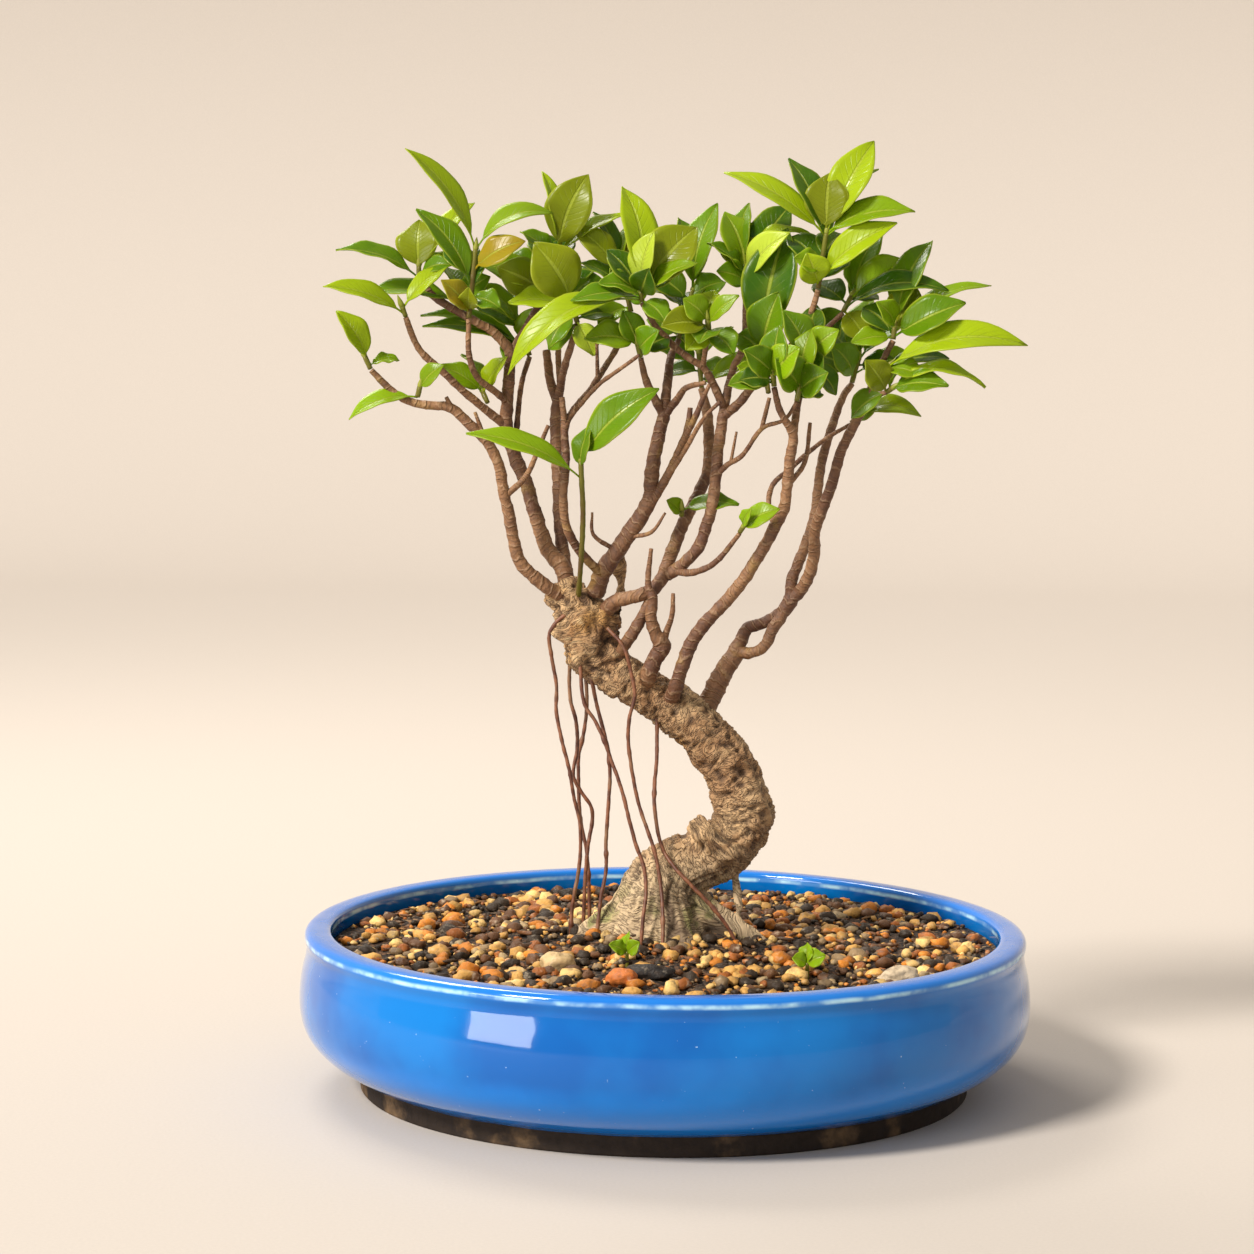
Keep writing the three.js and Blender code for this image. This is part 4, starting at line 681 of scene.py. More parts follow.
# ---------------------------------------------------------------- leafy shoots
# Each green twig end carries glossy oval leaves with a short drawn-out tip and ends in a sharp bud.
# A leaf is a thin blade folded a little along its pale midrib, paler and duller underneath.
shoots = {
    "far_left": ([(-120.8, -18, 294), (-123, -19, 299)], "bright fresh", [
        (0.6, -12, -5, 20, 10, 45), (0.3, 12, 5, 2, 6, 30)]),
    "left_low": ([(-102, -16, 283), (-101, -17, 287)], "fresh fresh", [
        (0, -27, -8, -9, 9, 35), (0.8, 10, -5, 10, 8, 50)]),
    "left_inner": ([(-75, 6.5, 280), (-77, 9, 284)], "fresh fresh bright", [
        (1, -18, -4, 11, 10, 45), (0.8, -10, 8, 16, 9, 20), (1, 10, -7, 15, 8, 50)]),
    "left_outer": ([(-107.5, -8, 315), (-109, -9, 319)], "bright bright", [
        (0.2, -32, -10, 11, 10, 35), (0.8, 19, 7, 18, 9, 45)]),
    "left_fork": ([(-103, 2, 330.5), (-103, 2, 335)], "olive mid mid bright bright", [
        (0.5, 0, 5, 21, 15, 80), (0, -33, -8, 11, 10, 30), (0.3, 14, -6, 4, 7, 45),
         (0.8, 22, 8, 27, 9, 45), (0.3, 17, 5, 6, 8, 40)]),
    "left_middle": ([(-86, 4, 319), (-86, 6, 323)], "mid mid mid", [
        (0.3, -40, -3, 3, 10, 35), (1, -8, 10, 12, 9, 35), (0.6, 12, -6, 10, 10, 55)]),
    "upper_left": ([(-82, -8, 314.5), (-79.5, -8, 342)],
        "amber olive mid dark amber bright fresh mid dark", [
        (0.08, -11, -8, 13, 9, 50), (0.12, 0, -9, 9, 7, 75), (0.45, -23, 4, 31, 11, 55),
         (0.4, 2, 8, 17, 8, 70), (0.7, 21, -6, 12, 11, 55), (1, -28, -6, 40, 10, 35, 0.1),
         (1, 31, 6, 15, 11, 30, 0.2), (0.3, 12, -6, -4, 9, 50), (0.6, -12, 8, 12, 10, 55)]),
    "olive": ([(-38.5, 0, 313), (-41, -3, 321)], "olive mid bright lime mid dark mid", [
        (1, -15, -8, 24, 18, 75), (0.6, 14, -10, 6, 9, 40), (0.7, -26, -4, 2, 10, 40),
         (0.1, 7, -6, -14, 10, 65), (0, -12, 4, -11, 10, 55), (0.2, 14, 8, 2, 12, 40),
         (0.5, -10, -8, -14, 9, 60)]),
    "left_top": ([(-53, 10, 323.5), (-47, 12, 341)],
        "bright olive mid mid bright dark fresh olive dark", [
        (1, -7, 6, 33, 9, 40), (1, 12, -2, 32, 16, 75), (0.4, -19, 4, 8, 11, 50),
         (0.8, -14, -4, 12, 9, 40), (0.9, 30, 4, 18, 7, 35), (0.5, 9, 8, 15, 11, 50),
         (0.2, -26, -2, 9, 12, 55), (0.1, -19, -9, 10, 14, 70), (0.6, -8, 10, 14, 12, 55)]),
    "middle_top": ([(-17, 10, 317.5), (-22, 14, 337)], "dark olive fresh amber mid mid fresh mid", [
        (1, -11, 6, 21, 8, 40), (0.8, -20, -2, 19, 10, 60), (0.9, 10, 10, 23, 8, 25),
         (0.6, 6, 12, 22, 12, 60), (0.3, -20, 2, 14, 9, 30), (0.2, 9, -8, 9, 10, 60),
         (0.1, -13, -8, -7, 10, 50), (0.5, -6, -10, 8, 10, 65)]),
    "centre": ([(-12.3, -14, 322), (-12.8, -15, 326)],
        "mid lime dark fresh bright mid olive bright dark mid mid", [
        (0.5, -17, -8, 5, 11, 35), (1, 5, -4, 24, 11, 45), (0.8, 3, -11, 10, 10, 75),
         (0.2, 22, -12, 15, 9, 35), (0.2, -53, -14, -30, 13, 40, 0.2), (0.3, -28, -12, -1, 10, 30),
         (1, 22, 4, 26, 18, 70), (1, -8, 12, 42, 13, 60), (0.6, -14, 7, 18, 12, 50),
         (0.8, 14, 8, 10, 12, 50), (0.1, 10, -9, -9, 9, 60)]),
    "centre_back": ([(2.4, 8, 306.5), (8, 18, 326)], "mid mid dark dark dark mid dark mid", [
        (1, 10, 8, 36, 12, 55), (1, -6, 6, 30, 13, 50), (0.4, 10, 12, 14, 10, 30),
         (0.6, -16, 10, 8, 11, 20), (0.8, -18, 4, 13, 12, 60), (0.2, -14, -2, 4, 12, 50),
         (0.1, 12, 0, -4, 11, 50), (0.9, 14, 2, 6, 11, 55)]),
    "right_centre_top": ([(29.5, 0, 330), (29.5, 1, 336)],
        "olive lime bright fresh mid mid dark mid dark fresh", [
        (0.5, -3, 4, 17, 15, 80), (0.2, 17, -14, 19, 12, 45), (0.8, 27, -2, 14, 7, 20, 0.3),
         (0.4, -9, 8, 26, 13, 65), (1, 1, 10, 26, 9, 50), (0.3, -16, -6, 14, 8, 30),
         (0.9, 18, 10, 26, 13, 60), (0.1, -12, -8, 4, 10, 60), (0.3, 12, 8, 6, 13, 60),
         (0, 10, -8, -9, 9, 60)]),
    "dark_right": ([(38.6, -22.5, 286.5), (36, -8, 304)], "dark mid mid dark fresh", [
        (1, 10, 4, 48, 19, 70), (0.9, 6, -10, 24, 15, 55), (0.8, -10, 4, 9, 12, 60),
         (0.5, 13, 7, 7, 12, 55), (0.2, -12, -4, 7, 9, 50)]),
    "top_right": ([(58, -16, 328), (61, -14, 350)],
        "bright bright olive bright mid fresh fresh dark bright mid dark dark mid fresh", [
        (0.05, -5, -6, 13, 11, 80), (0.2, 30, -8, 22, 12, 50), (1, 1, 2, 24, 15, 80),
         (1, 19, 8, 37, 14, 60), (1, 21, 12, 26, 8, 25), (1, 26, -2, 11, 10, 40),
         (0.95, 35, -6, 10, 12, 40), (0.9, -15, 10, 32, 11, 55), (0.95, -41, 4, 25, 12, 40),
         (0.8, -8, 12, 20, 10, 40), (0.1, 10, 11, 12, 12, 55), (0.3, -13, 11, 14, 12, 55),
         (0.5, 9, 13, 11, 11, 55), (0.4, -11, -6, 3, 9, 60)]),
    "right_middle": ([(68.7, -3, 318.5), (72, -2, 325)], "dark mid fresh mid dark dark olive dark", [
        (0.2, 41, -12, 8, 10, 40, 0.2), (1, -1, 6, 16, 9, 50), (0.8, 25, -4, 15, 13, 60),
         (1, 13, 8, 27, 10, 60), (0.5, -13, 11, 8, 12, 50), (0.3, -9, 9, -12, 12, 60),
         (0.1, 9, -6, -12, 11, 70), (0.6, 11, 12, 4, 12, 50)]),
    "right_centre_low": ([(49.7, -30, 283.5), (51, -31, 290)], "mid mid fresh mid dark", [
        (0.8, -10, -10, 12, 13, 65), (0.6, 11, -10, 8, 12, 60), (1, 4, 2, 22, 11, 50),
         (0.3, -8, 8, 14, 11, 55), (0.1, 9, 8, 4, 10, 50)]),
    "right_top": ([(88.5, -14, 308), (89, -14, 313)], "olive mid mid fresh fresh fresh dark mid", [
        (0.4, 9, 4, 19, 13, 65), (0.2, 28, -8, 14, 14, 55), (0.9, 15, 10, 35, 12, 50),
         (0.6, 39, 6, 19, 8, 25), (1, -8, -10, 10, 9, 50), (0.1, -17, -4, -2, 9, 40),
         (0.3, -12, 9, 11, 12, 55), (0.5, 4, 13, 9, 12, 55)]),
    "right_long": ([(83, -15, 294), (86, -16, 297)], "bright dark fresh", [
        (0.5, 57, -8, 11, 13, 40, 0.2), (0.5, 27, 6, 5, 10, 30), (0.8, 15, -7, -3, 9, 45)]),
    "right_low": ([(86, -17, 287), (88, -18, 288.5)], "bright mid fresh olive mid", [
        (1, 37, -6, 1, 8, 30, 0.25), (0.8, 22, -14, 2, 11, 45), (0.6, 4, 8, 13, 7, 50),
         (0, -9, -7, 13, 11, 70), (0.1, -14, 5, -11, 10, 50)]),
    "right_lowest": ([(73, 4, 273.5), (77, 3, 276)], "bright fresh mid", [
        (1, 24, -8, 1, 9, 40, 0.3), (0.5, 14, 10, 10, 9, 30), (0.3, 9, -7, 12, 10, 55)]),
    "right_back": ([(74.5, 31, 289), (77, 33, 298)], "mid dark mid fresh dark mid dark", [
        (1, 24, 12, 20, 12, 40), (0.7, -16, 14, 18, 12, 40), (0.9, 6, 6, 28, 12, 50),
         (0.4, 28, 4, 6, 11, 30), (0.5, -22, -3, 8, 12, 50), (0.2, -10, -9, 14, 12, 55),
         (0.8, 17, -2, -2, 11, 50)]),
    "front": ([(-37, -6, 202), (-36, -14, 214), (-35, -20, 236), (-36, -25, 258)], "mid mid fresh", [
        (1, 31, -8, 30, 14, 60), (0.95, 4, -4, 18, 8, 50), (0.9, -46, -8, 18, 10, 35)]),
    "right_stray": ([(27.8, -29, 231), (29, -30, 233)], "fresh fresh", [
        (0.5, 15, -6, 9, 9, 45), (1, 3, -6, 8, 5, 40)]),
    "low_centre": ([(4.6, -3.8, 235.5), (4.6, -5, 238)], "fresh mid", [
        (0.3, -6, -5, 6, 6, 50), (0.9, 23, -8, 3, 9, 35)]),
    "centre_low": ([(14.7, -18, 310), (14, -19, 315)], "bright fresh olive mid fresh mid bright", [
        (0.8, 2, 4, 13, 10, 75), (0.6, 12, -6, 12, 8, 40), (0.5, -19, -8, 0, 11, 50),
         (0.2, -4, -12, -5, 10, 60), (0.9, -10, -4, 9, 10, 60), (0.1, 10, -7, -9, 10, 60),
         (0, -9, -7, -7, 9, 65)]),
    "left_low_dark": ([(-58.5, 18, 299), (-62, 18, 311)], "mid fresh mid dark fresh mid mid", [
        (0.9, -20, -6, 10, 12, 45), (1, -18, -10, 18, 9, 45), (0.1, -44, -8, 15, 9, 30),
         (0, -43, -16, 12, 8, 30), (0.2, 4, -8, 18, 11, 60), (0.6, 12, -9, 9, 11, 55),
         (0.4, -8, -12, -8, 10, 60)]),
    "front_low": ([(-12.6, -15, 300), (-14, -17, 305)], "fresh mid dark mid", [
        (1, -21, -8, 2, 12, 50), (0.6, 8, -10, 8, 10, 60), (0.4, 12, 4, 6, 11, 50),
         (0.9, -6, -2, 14, 10, 60)]),
    "centre_rear": ([(12.3, 22, 286.5), (11, 28, 300)], "dark mid dark dark mid fresh dark dark", [
        (1, -16, 14, 12, 12, 30), (0.8, 14, 16, 14, 12, 30), (1, 2, 16, 24, 12, 40),
         (0.5, -14, 6, -2, 10, 30), (0.4, 16, 10, 2, 11, 20), (0.1, 31, -9, 15, 8, 50),
         (0.3, 6, 15, -6, 12, 20), (0.7, -20, 4, 8, 12, 40)]),
    "left_rear": ([(-46.3, 28, 312.5), (-46, 34, 326)], "dark mid dark dark mid dark mid dark", [
        (1, -14, 14, 14, 12, 30), (0.8, 16, 14, 12, 12, 30), (1, 0, 12, 24, 12, 40),
         (0.5, -24, 8, 2, 11, 20), (0.4, 22, 8, 0, 11, 20), (0.7, -10, 8, -8, 12, 40),
         (0.3, 12, -8, 14, 13, 60), (0.9, 18, 2, 4, 12, 50)]),
    "right_inner": ([(40.5, -34, 289.5), (40, -35, 294)], "mid fresh dark mid mid", [
        (1, -12, -10, 10, 11, 60), (0.8, 10, -10, 12, 12, 60), (0.5, -14, -4, 0, 10, 50),
         (0.3, -18, -2, -1, 9, 50), (0.9, 2, -2, 20, 11, 60)]),
    "right_inner_high": ([(53.5, -24, 293.5), (54, -23, 300)], "fresh mid dark dark mid dark", [
        (1, 12, -6, 12, 11, 60), (0.9, -10, -2, 20, 12, 60), (0.5, 6, -14, 0, 10, 50),
         (0.8, 12, 5, -13, 9, 50), (0.3, -11, 6, 8, 11, 55), (0.9, 4, 9, 22, 12, 55)]),
}

# The bright, mid and dark tones are partly painted light. Dark is painted shade on leaves deep in the crown
# and at its back, and bright is painted sunlight on outer leaves. Fresh, olive, amber and lime are the
# leaves' own colours, young to old.
leaf_tones = {
    "bright": (0.36, 0.48, 0.006), "fresh": (0.22, 0.36, 0.005), "mid": (0.115, 0.235, 0.004),
    "dark": (0.036, 0.105, 0.004), "olive": (0.23, 0.26, 0.006), "amber": (0.40, 0.27, 0.015),
    "lime": (0.50, 0.62, 0.050),
}
twig_tone = (0.20, 0.17, 0.035)
old_twig_tone = (0.13, 0.062, 0.030)
bud_tone = (0.36, 0.36, 0.06)
blade_rows, blade_columns, blade_thickness = 16, 8, 0.0004
stalk_share = 0.13
stalk_half, tip_half = 0.00042, 0.0002
blade_fullness, seedling_fullness = 1.2, 1.35
plain_arch = 0.13
green_twig_radius = 1.05
young_length = 0.022

green = Finish("leaf_green", Roughness=0.30, IOR=1.45, Specular_IOR_Level=0.3)
tone = green.attribute("tone", "Color")
across = green.attribute("across_blade")
down_blade = green.attribute("along_blade")
under = green.attribute("underside")
side = green.node("ShaderNodeMath", {"operation": "ABSOLUTE"}, {0: across})
blade = green.step(side, 1.15, 1.3, 1, 0)
cloud = green.grain(85, 3)
mottled = green.blend(green.step(cloud, 0.35, 0.7) * 0.22, tone, (0.26, 0.34, 0.008))
veins = green.node("ShaderNodeMath", {"operation": "PINGPONG"}, {0: down_blade * 11 - side * 2.6, 1: 0.5})
vein = green.step(veins, 0.0, 0.10, 1, 0) * green.step(side, 0.02, 0.9, 1, 0.2)
veined = green.blend(vein * blade * 0.16, mottled, (0.34, 0.44, 0.03))
midrib = green.step(side, 0.035, 0.10, 1, 0)
ribbed = green.blend(midrib * blade * 0.55, veined, (0.46, 0.52, 0.06))
margin = green.step(side, 0.90, 0.985) * blade
edged = green.blend(margin * 0.5, ribbed, (0.48, 0.52, 0.04))
dull = green.blend(under * blade * 0.3, edged, (0.28, 0.38, 0.05))
green.put("Base Color", dull)
green.put("Roughness", under * blade * 0.25 + 0.24 + green.step(cloud, 0.3, 0.7) * 0.08)
green.bump(vein * blade * -0.5 - midrib * blade + green.grain(500, 2) * 0.25, 0.00025)
glow = green.node("ShaderNodeBsdfTranslucent", {}, {"Color": (0.42, 0.60, 0.01, 1)})
both = green.node("ShaderNodeMixShader", {}, {0: 0.30, 2: glow})
green.tree.links.new(green.shader.outputs[0], both.socket.node.inputs[1])
green.tree.links.new(both.socket, green.tree.nodes["Material Output"].inputs["Surface"])


def blade_width(share):
    """Half width of a blade, against its widest, from its base (0) to its tip (1)."""
    oval = max(0.0, math.sin(math.pi * min(share, 0.999) ** 0.92)) ** 0.72
    point = 1 - 0.35 * max(0.0, (share - 0.62) / 0.38) ** 1.5
    return oval * point


def blade_faces(shape, foot, reach, width, face, arch, tone, luck):
    """The upper side of one leaf, foot to tip. `face` turns it from up (0) to the front (90)."""
    layers = [shape.verts.layers.float[n] for n in ("along_blade", "across_blade")]
    colour = shape.verts.layers.float_color["tone"]
    forward = reach.normalized()
    front = Vector((0, -1, 0))
    front = (front - forward * front.dot(forward)).normalized()
    upward = front.cross(forward)
    if upward.z < 0:
        upward.negate()
    turn = math.radians(face)
    normal = upward * math.cos(turn) + front * math.sin(turn)
    aside = forward.cross(normal)
    tip = foot + reach
    crown = foot.lerp(tip, 0.5) + normal * 2 * arch * reach.length
    twist, bow = luck.uniform(-0.35, 0.35), luck.uniform(-0.035, 0.035) * reach.length
    fold, wave, phase = luck.uniform(0.14, 0.34), luck.uniform(0.00015, 0.0006), luck.uniform(0, 6)
    shade = luck.uniform(0.82, 1.18)
    corners = grid_corners(shape, blade_columns, blade_rows)
    for row in range(blade_rows + 1):
        t = row / blade_rows
        centre = foot * (1 - t) ** 2 + crown * 2 * t * (1 - t) + tip * t**2
        tangent = ((crown - foot) * (1 - t) + (tip - crown) * t).normalized()
        level = (aside - tangent * aside.dot(tangent)).normalized()
        rise = level.cross(tangent)
        roll = twist * (t - 0.3)
        flat, upright = level, rise
        level = flat * math.cos(roll) + upright * math.sin(roll)
        rise = upright * math.cos(roll) - flat * math.sin(roll)
        centre = centre + level * bow * math.sin(math.pi * t)
        share = (t - stalk_share) / (1 - stalk_share)
        half = stalk_half if share <= 0 else max(tip_half, blade_width(share) * width / 2)
        for column in range(blade_columns + 1):
            out = 2 * column / blade_columns - 1
            lift = abs(out) ** 1.4 * fold * half + wave * abs(out) ** 2 * math.sin(t * 17 + phase + out)
            lift -= 0.0002 * math.exp(-((out / 0.16) ** 2)) * (half > 0.001)
            corner = corners[row, column]
            corner.co = centre + level * out * half + rise * lift * (share > 0)
            corner[layers[0]], corner[layers[1]] = max(share, 0), out if share > 0 else 0.3
            corner[colour] = (*[c * shade for c in tone], 1)


def empty_shoot():
    """A mesh ready for leaves and a stem: the values its colouring needs come first."""
    shape = bmesh.new()
    for layer_name in ("along_blade", "across_blade", "underside", "along"):
        shape.verts.layers.float.new(layer_name)
    shape.verts.layers.float_color.new("tone")
    return shape


def shoot_piece(name, twig, tones, leaves, luck):
    """A twig end with its bud and leaves, as one piece."""
    shape = empty_shoot()
    for row, tone_name in zip(leaves, tones):
        place, x, y, z, width, face, arch = (*row, plain_arch)[:7]
        foot, reach = point_at(twig, place), Vector((x, y, z)) / 1000
        blade = width * blade_fullness / 1000
        blade_faces(shape, foot, reach, blade, face, arch, leaf_tones[tone_name], luck)
    under = shape.verts.layers.float["underside"]
    top = set(shape.verts)
    for corner in shape.verts:
        corner[under] = 0
    shape.normal_update()
    bmesh.ops.solidify(shape, geom=shape.faces[:], thickness=blade_thickness)
    for corner in shape.verts:
        corner[under] = 0 if corner in top else 1
    across, colour = shape.verts.layers.float["across_blade"], shape.verts.layers.float_color["tone"]
    grown = set(shape.verts)
    onward = (Vector(twig[-1]) - Vector(twig[-2])).normalized()
    end = Vector(twig[-1])
    line = [(*point, green_twig_radius) for point in twig]
    bud_shape = ((-0.4, 0.9), (0.8, 1.25), (2.2, 1.0), (3.9, 0.5), (5, 0.15))
    bud = [(*(end + onward * far), radius) for far, radius in bud_shape]
    stem(shape, evenly(along_line(line, 4), 0.0012), 8, ringed(len(name), 0.005))
    wood = set(shape.verts) - grown
    stem(shape, evenly(along_line(bud, 4), 0.0005), 8, lambda *_: 0)
    distance = shape.verts.layers.float["along"]
    reach = sum((Vector(b) - Vector(a)).length for a, b in zip(twig, twig[1:])) / 1000
    for corner in set(shape.verts) - grown:
        corner[across] = 2
        greener = min(1, max(0, 1 - (reach - corner[distance]) / young_length)) if corner in wood else 1
        tip = Vector(twig_tone if corner in wood else bud_tone)
        corner[colour] = (*Vector(old_twig_tone).lerp(tip, greener), 1)
    bmesh.ops.recalc_face_normals(shape, faces=shape.faces)
    return piece("leaves_" + name, shape, green, ["shoot_" + name])


def point_at(twig, share):
    """A place along a twig in metres, from its foot (0) to its end (1)."""
    points = [Vector(point) / 1000 for point in twig]
    line = points
    if len(points) > 2:
        line = [place for place, _ in along_line([(*point, 1) for point in twig], 12)]
    place = share * (len(line) - 1)
    first = min(int(place), len(line) - 2)
    return line[first].lerp(line[first + 1], place - first)


luck = random.Random(11)
for name, (twig, tones, leaves) in shoots.items():
    shoot_piece(name, twig, tones.split(), leaves, luck)

# ---------------------------------------------------------------- stones and bark chip
# Larger stones and a chip of charred bark lie half sunk in the soil. They are water-worn, tan,
# orange and pale, with fine cracks and pits.

stone = Finish("worn_stone", Roughness=0.62, Specular_IOR_Level=0.3)
stone_tint = stone.attribute("tint", "Color")
stone_cloud = stone.grain(260, 5, roughness=0.6)
stone_dark = stone.blend(stone.step(stone_cloud, 0.30, 0.52, 0.55, 0), stone_tint, (0.06, 0.035, 0.020))
stone_pale = stone.blend(stone.step(stone_cloud, 0.55, 0.75) * 0.45, stone_dark, (0.72, 0.60, 0.44))
stone.put("Base Color", stone_pale)
stone.put("Roughness", stone.step(stone_cloud, 0.3, 0.7) * 0.3 + 0.42)
stone.bump(stone_cloud + stone.grain(1400, 3) * 0.3, 0.0009)


def pebble(shape, place, size, turn, tint, luck, detail=2, rough=0.22):
    """One stone of the given length, depth and height about its place, turned about +Z."""
    layer = shape.verts.layers.float_color.get("tint") or shape.verts.layers.float_color.new("tint")
    made = bmesh.ops.create_icosphere(shape, subdivisions=detail, radius=0.5)["verts"]
    offset = Vector((luck.uniform(-90, 90), luck.uniform(-90, 90), luck.uniform(-90, 90)))
    lean = Matrix.Rotation(turn, 3, "Z") @ Matrix.Rotation(luck.uniform(-0.3, 0.3), 3, "X")
    for corner in made:
        worn = 1 + rough * noise.noise(corner.co * 2.6 + offset)
        worn += rough * 0.4 * noise.noise(corner.co * 6 + offset)
        sized = Vector([c * s * worn for c, s in zip(corner.co, size)])
        corner.co = Vector(place) + lean @ sized
        corner[layer] = (*tint, 1)


stones = [
    ("tan", -42, -62, 15, 11, 10, 20, (0.56, 0.39, 0.19), "tan_stone", "stone_tan"),
    ("orange", -16, -86, 13, 10, 9, -15, (0.52, 0.15, 0.030), "orange_stone", "stone_orange"),
    ("pale", 92, -70, 17, 12, 9, 30, (0.58, 0.46, 0.31), "pale_stone", "stone_pale"),
    ("charred", -6, -74, 19, 9, 7, -12, (0.018, 0.015, 0.014), "bark_mulch", "bark_chip"),
]
luck = random.Random(5)
for name, x, y, length, depth, height, turn, tint, slot, node in stones:
    stone_shape = bmesh.new()
    place = (x / 1000, y / 1000, (soil_height(x, y) + height * 0.15) / 1000)
    size = (length / 1000, depth / 1000, height / 1000)
    pebble(stone_shape, place, size, math.radians(turn), tint, luck, detail=4, rough=0.26)
    piece("large_stone_" + name, stone_shape, stone, [node])

# ---------------------------------------------------------------- gravel and bark bits
# The soil's surface is strewn with tan, cream, orange, grey, brown and black grains of 2 to 9 mm
# and with splinters of bark. They lie where watering has left them.

grain_tints = [
    ((0.60, 0.36, 0.13), 19), ((0.72, 0.52, 0.26), 12), ((0.58, 0.22, 0.035), 11),
    ((0.33, 0.11, 0.025), 9), ((0.24, 0.175, 0.125), 8), ((0.12, 0.055, 0.028), 20),
    ((0.030, 0.020, 0.015), 24), ((0.42, 0.33, 0.24), 5),
]


def strewn(name, count, sizes, detail, stretch, tints, seed, sunk):
    """Grains strewn over the soil, clear of the trunk and the large stones."""
    luck = random.Random(seed)
    shape = bmesh.new()
    part = bmesh.new()
    mesh = bpy.data.meshes.new(name + "_part")
    for number in range(count):
        size = luck.uniform(*sizes) * luck.choice((0.7, 0.85, 1, 1, 1.25))
        reach = (soil_edge - size * 0.7) * luck.random() ** 0.5
        around = luck.uniform(0, 2 * math.pi)
        x, y = reach * math.cos(around), reach * math.sin(around)
        on_trunk = math.hypot((x + 2) / 23, y / 21) < 1
        if on_trunk or any(math.hypot(x - s[1], y - s[2]) < s[3] * 0.42 for s in stones):
            continue
        tint = luck.choices([t for t, _ in tints], [w for _, w in tints])[0]
        shade = luck.uniform(0.7, 1.2)
        tint = [tint[0] * shade, tint[1] * shade * 0.9, tint[2] * shade * 0.62]
        place = Vector((x, y, soil_height(x, y) + size * sunk)) / 1000
        length, depth, height = stretch
        sides = (size * length, size * luck.uniform(*depth), size * luck.uniform(*height))
        sides = [side / 1000 for side in sides]
        pebble(part, place, sides, luck.uniform(0, 6.3), tint, luck, detail, rough=0.45)
        if number % 60 == 59 or number == count - 1:
            part.to_mesh(mesh)
            shape.from_mesh(mesh)
            part.clear()
    part.free()
    bpy.data.meshes.remove(mesh)
    return piece(name, shape, stone, ["soil"])


strewn("gravel", 900, (4.2, 7.0), 2, (1.15, (0.75, 1.0), (0.6, 0.8)), grain_tints, 21, 0.10)
strewn("fine_grit", 2300, (2.0, 3.6), 1, (1.1, (0.7, 1.0), (0.6, 0.8)), grain_tints, 22, 0.05)
brown_bits = [((0.050, 0.026, 0.015), 5), ((0.14, 0.062, 0.030), 4), ((0.25, 0.13, 0.055), 2)]
strewn("bark_splinters", 420, (5.0, 9.0), 1, (1.1, (0.14, 0.3), (0.12, 0.25)), brown_bits, 23, 0.10)

# ---------------------------------------------------------------- seedlings
# Small wild seedlings have come up in the gravel. Each is a short green stem with three small,
# round, soft leaves, rooted in the soil.

seedlings = [
    ("left", -15, -58, [(-7, -3, 4, 5, 50), (5, -4, 5, 5, 50), (1, 4, 8, 4, 40)]),
    ("right", 56, -66, [(-6, -2, 3, 5, 50), (7, -3, 4, 6, 50), (0, 3, 8, 5, 60)]),
]
luck = random.Random(3)
for name, x, y, leaves in seedlings:
    shape = empty_shoot()
    top = Vector((x, y, soil_height(x, y) + 4.4)) / 1000
    for dx, dy, dz, width, face in leaves:
        reach, blade = Vector((dx, dy, dz)) / 1000, width * seedling_fullness / 1000
        blade_faces(shape, top, reach, blade, face, plain_arch, leaf_tones["fresh"], luck)
    bmesh.ops.solidify(shape, geom=shape.faces[:], thickness=blade_thickness)
    across, colour = shape.verts.layers.float["across_blade"], shape.verts.layers.float_color["tone"]
    grown = set(shape.verts)
    ground = soil_height(x, y)
    line = [(x, y, ground - 4, 0.8), (x, y, ground, 0.8), (x, y, ground + 5, 0.7)]
    stem(shape, evenly(along_line(line, 3), 0.0008), 8, lambda *_: 0)
    for corner in set(shape.verts) - grown:
        corner[across] = 2
        corner[colour] = (*twig_tone, 1)
    bmesh.ops.recalc_face_normals(shape, faces=shape.faces)
    piece("wild_seedling_" + name, shape, green, ["seedling_" + name])

# ---------------------------------------------------------------- studio
# A pale cream paper sweep under and far behind the pot, a soft sun-like key from the upper left,
# a window-like light low on the left and a weaker one from behind.

paper = Finish("cream_paper", Roughness=0.85)
paper_grain = paper.grain(700, 3)
paper_tones = [(0.3, (0.505, 0.457, 0.410)), (0.7, (0.530, 0.479, 0.430))]
paper.put("Base Color", paper.ramp(paper_grain, paper_tones))
sweep = bmesh.new()
sweep_reach, bend_start, bend_radius, wall_top = 20.0, 2.2, 0.8, 4.0
profile = [(-sweep_reach, 0.0), (bend_start, 0.0)]
for step in range(1, 13):
    bend = step * math.pi / 24
    profile.append((bend_start + bend_radius * math.sin(bend), bend_radius * (1 - math.cos(bend))))
profile.append((bend_start + bend_radius, wall_top))
edge_line = [sweep.verts.new((-sweep_reach, y, z)) for y, z in profile]
edges = [sweep.edges.new(pair) for pair in zip(edge_line, edge_line[1:])]
out = bmesh.ops.extrude_edge_only(sweep, edges=edges)["geom"]
far_edge = [v for v in out if isinstance(v, bmesh.types.BMVert)]
bmesh.ops.translate(sweep, verts=far_edge, vec=(2 * sweep_reach, 0, 0))
bmesh.ops.recalc_face_normals(sweep, faces=sweep.faces)
sweep_mesh = bpy.data.meshes.new("paper_sweep")
sweep.to_mesh(sweep_mesh)
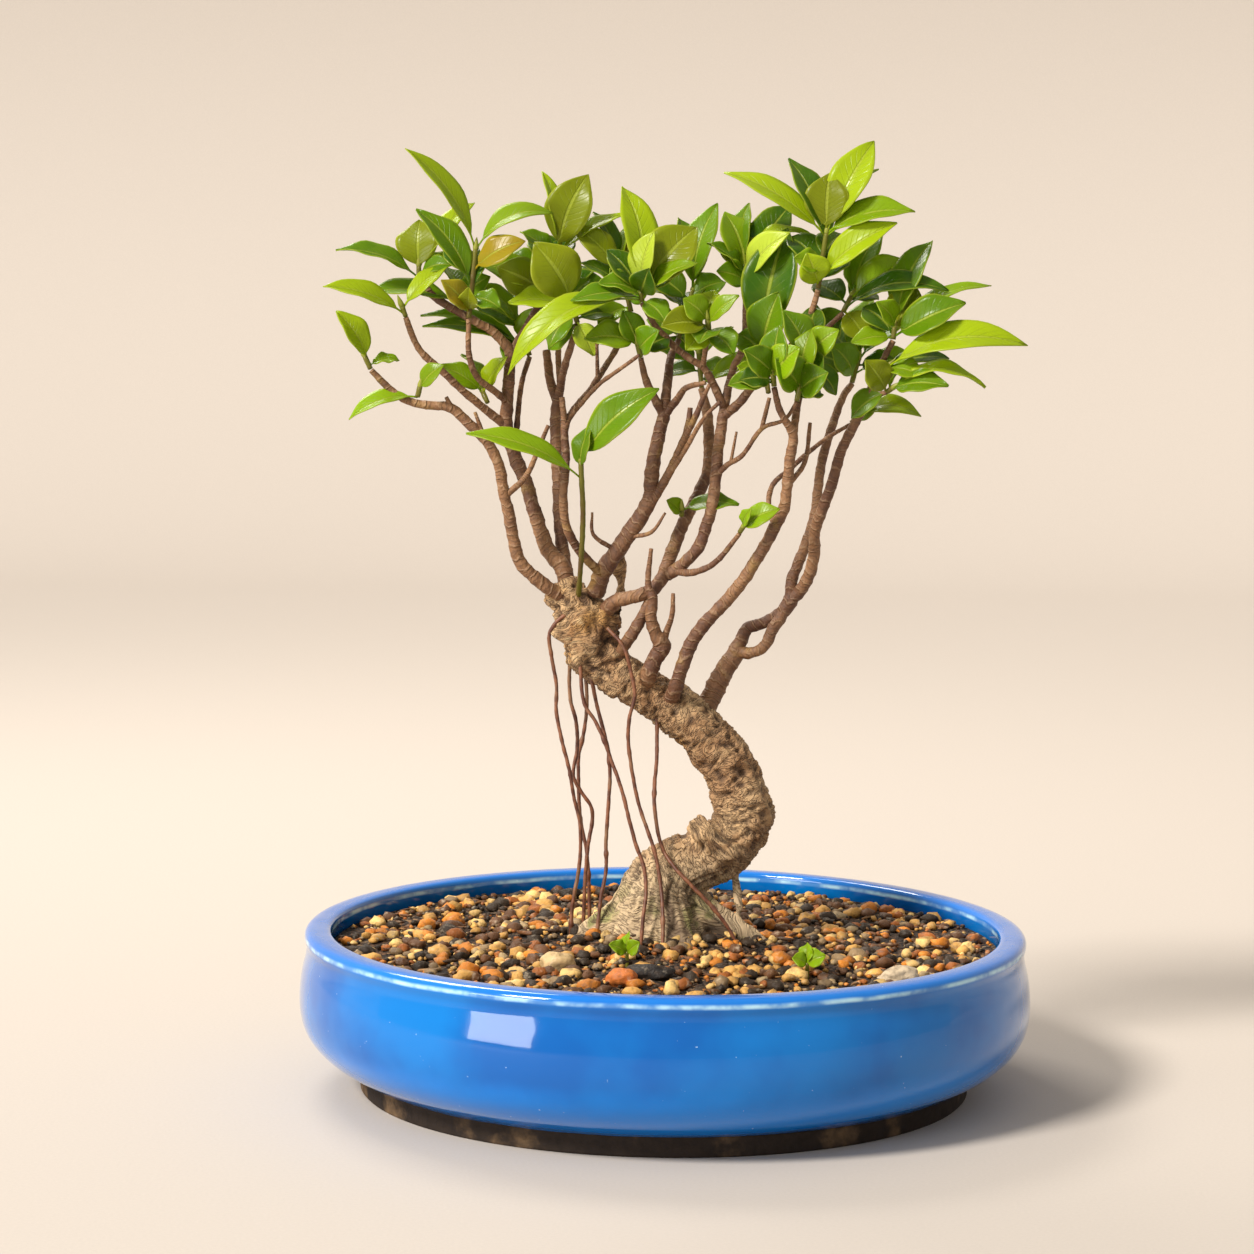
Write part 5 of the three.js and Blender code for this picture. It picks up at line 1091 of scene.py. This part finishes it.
sweep.free()
sweep_mesh.materials.append(paper.material)
sweep_mesh.shade_smooth()
backdrop = bpy.data.objects.new("paper_sweep", sweep_mesh)
bpy.context.collection.objects.link(backdrop)

sky = bpy.data.worlds.new("studio")
sky.use_nodes = True
sky.node_tree.nodes["Background"].inputs["Color"].default_value = (1.0, 0.955, 0.90, 1)
sky.node_tree.nodes["Background"].inputs["Strength"].default_value = 0.50
bpy.context.scene.world = sky


def soft_light(name, place, aim, width, height, power, colour):
    lamp = bpy.data.lights.new(name, "AREA")
    lamp.shape, lamp.size, lamp.size_y = "RECTANGLE", width, height
    lamp.energy, lamp.color = power, colour
    made = bpy.data.objects.new(name, lamp)
    made.location = place
    made.rotation_euler = (Vector(aim) - Vector(place)).to_track_quat("-Z", "Y").to_euler()
    bpy.context.collection.objects.link(made)


sun = bpy.data.lights.new("key", "SUN")
sun.energy, sun.angle, sun.color = 4.2, 0.24, (1.0, 0.94, 0.86)
key = bpy.data.objects.new("key", sun)
key.rotation_euler = Vector((1.5, 1.25, -1.65)).to_track_quat("-Z", "Y").to_euler()
bpy.context.collection.objects.link(key)
soft_light("window", (-1.36, -1.18, 0.30), (0, 0, 0.04), 0.66, 0.44, 10, (1.0, 0.98, 0.95))
soft_light("back", (-0.6, 0.9, 1.3), (0, 0, 0.3), 0.7, 0.4, 13, (1.0, 0.95, 0.87))

# ---------------------------------------------------------------- camera
# The camera stands 1.46 m in front of the pot at the height of the crown, and looks down a little.

lens = bpy.data.cameras.new("camera")
lens.lens, lens.sensor_width, lens.clip_start = 103.35, 36, 0.05
camera = bpy.data.objects.new("camera", lens)
look_down = Matrix.Rotation(math.radians(90 - 5.88), 4, "X")
tilt = Matrix.Rotation(0.0117, 4, "Z") @ look_down @ Matrix.Rotation(0.0108, 4, "Z")
camera.matrix_world = Matrix.Translation((0, -1.462, 0.340)) @ tilt
bpy.context.collection.objects.link(camera)
bpy.context.scene.camera = camera
bpy.context.scene.view_settings.view_transform = "Standard"
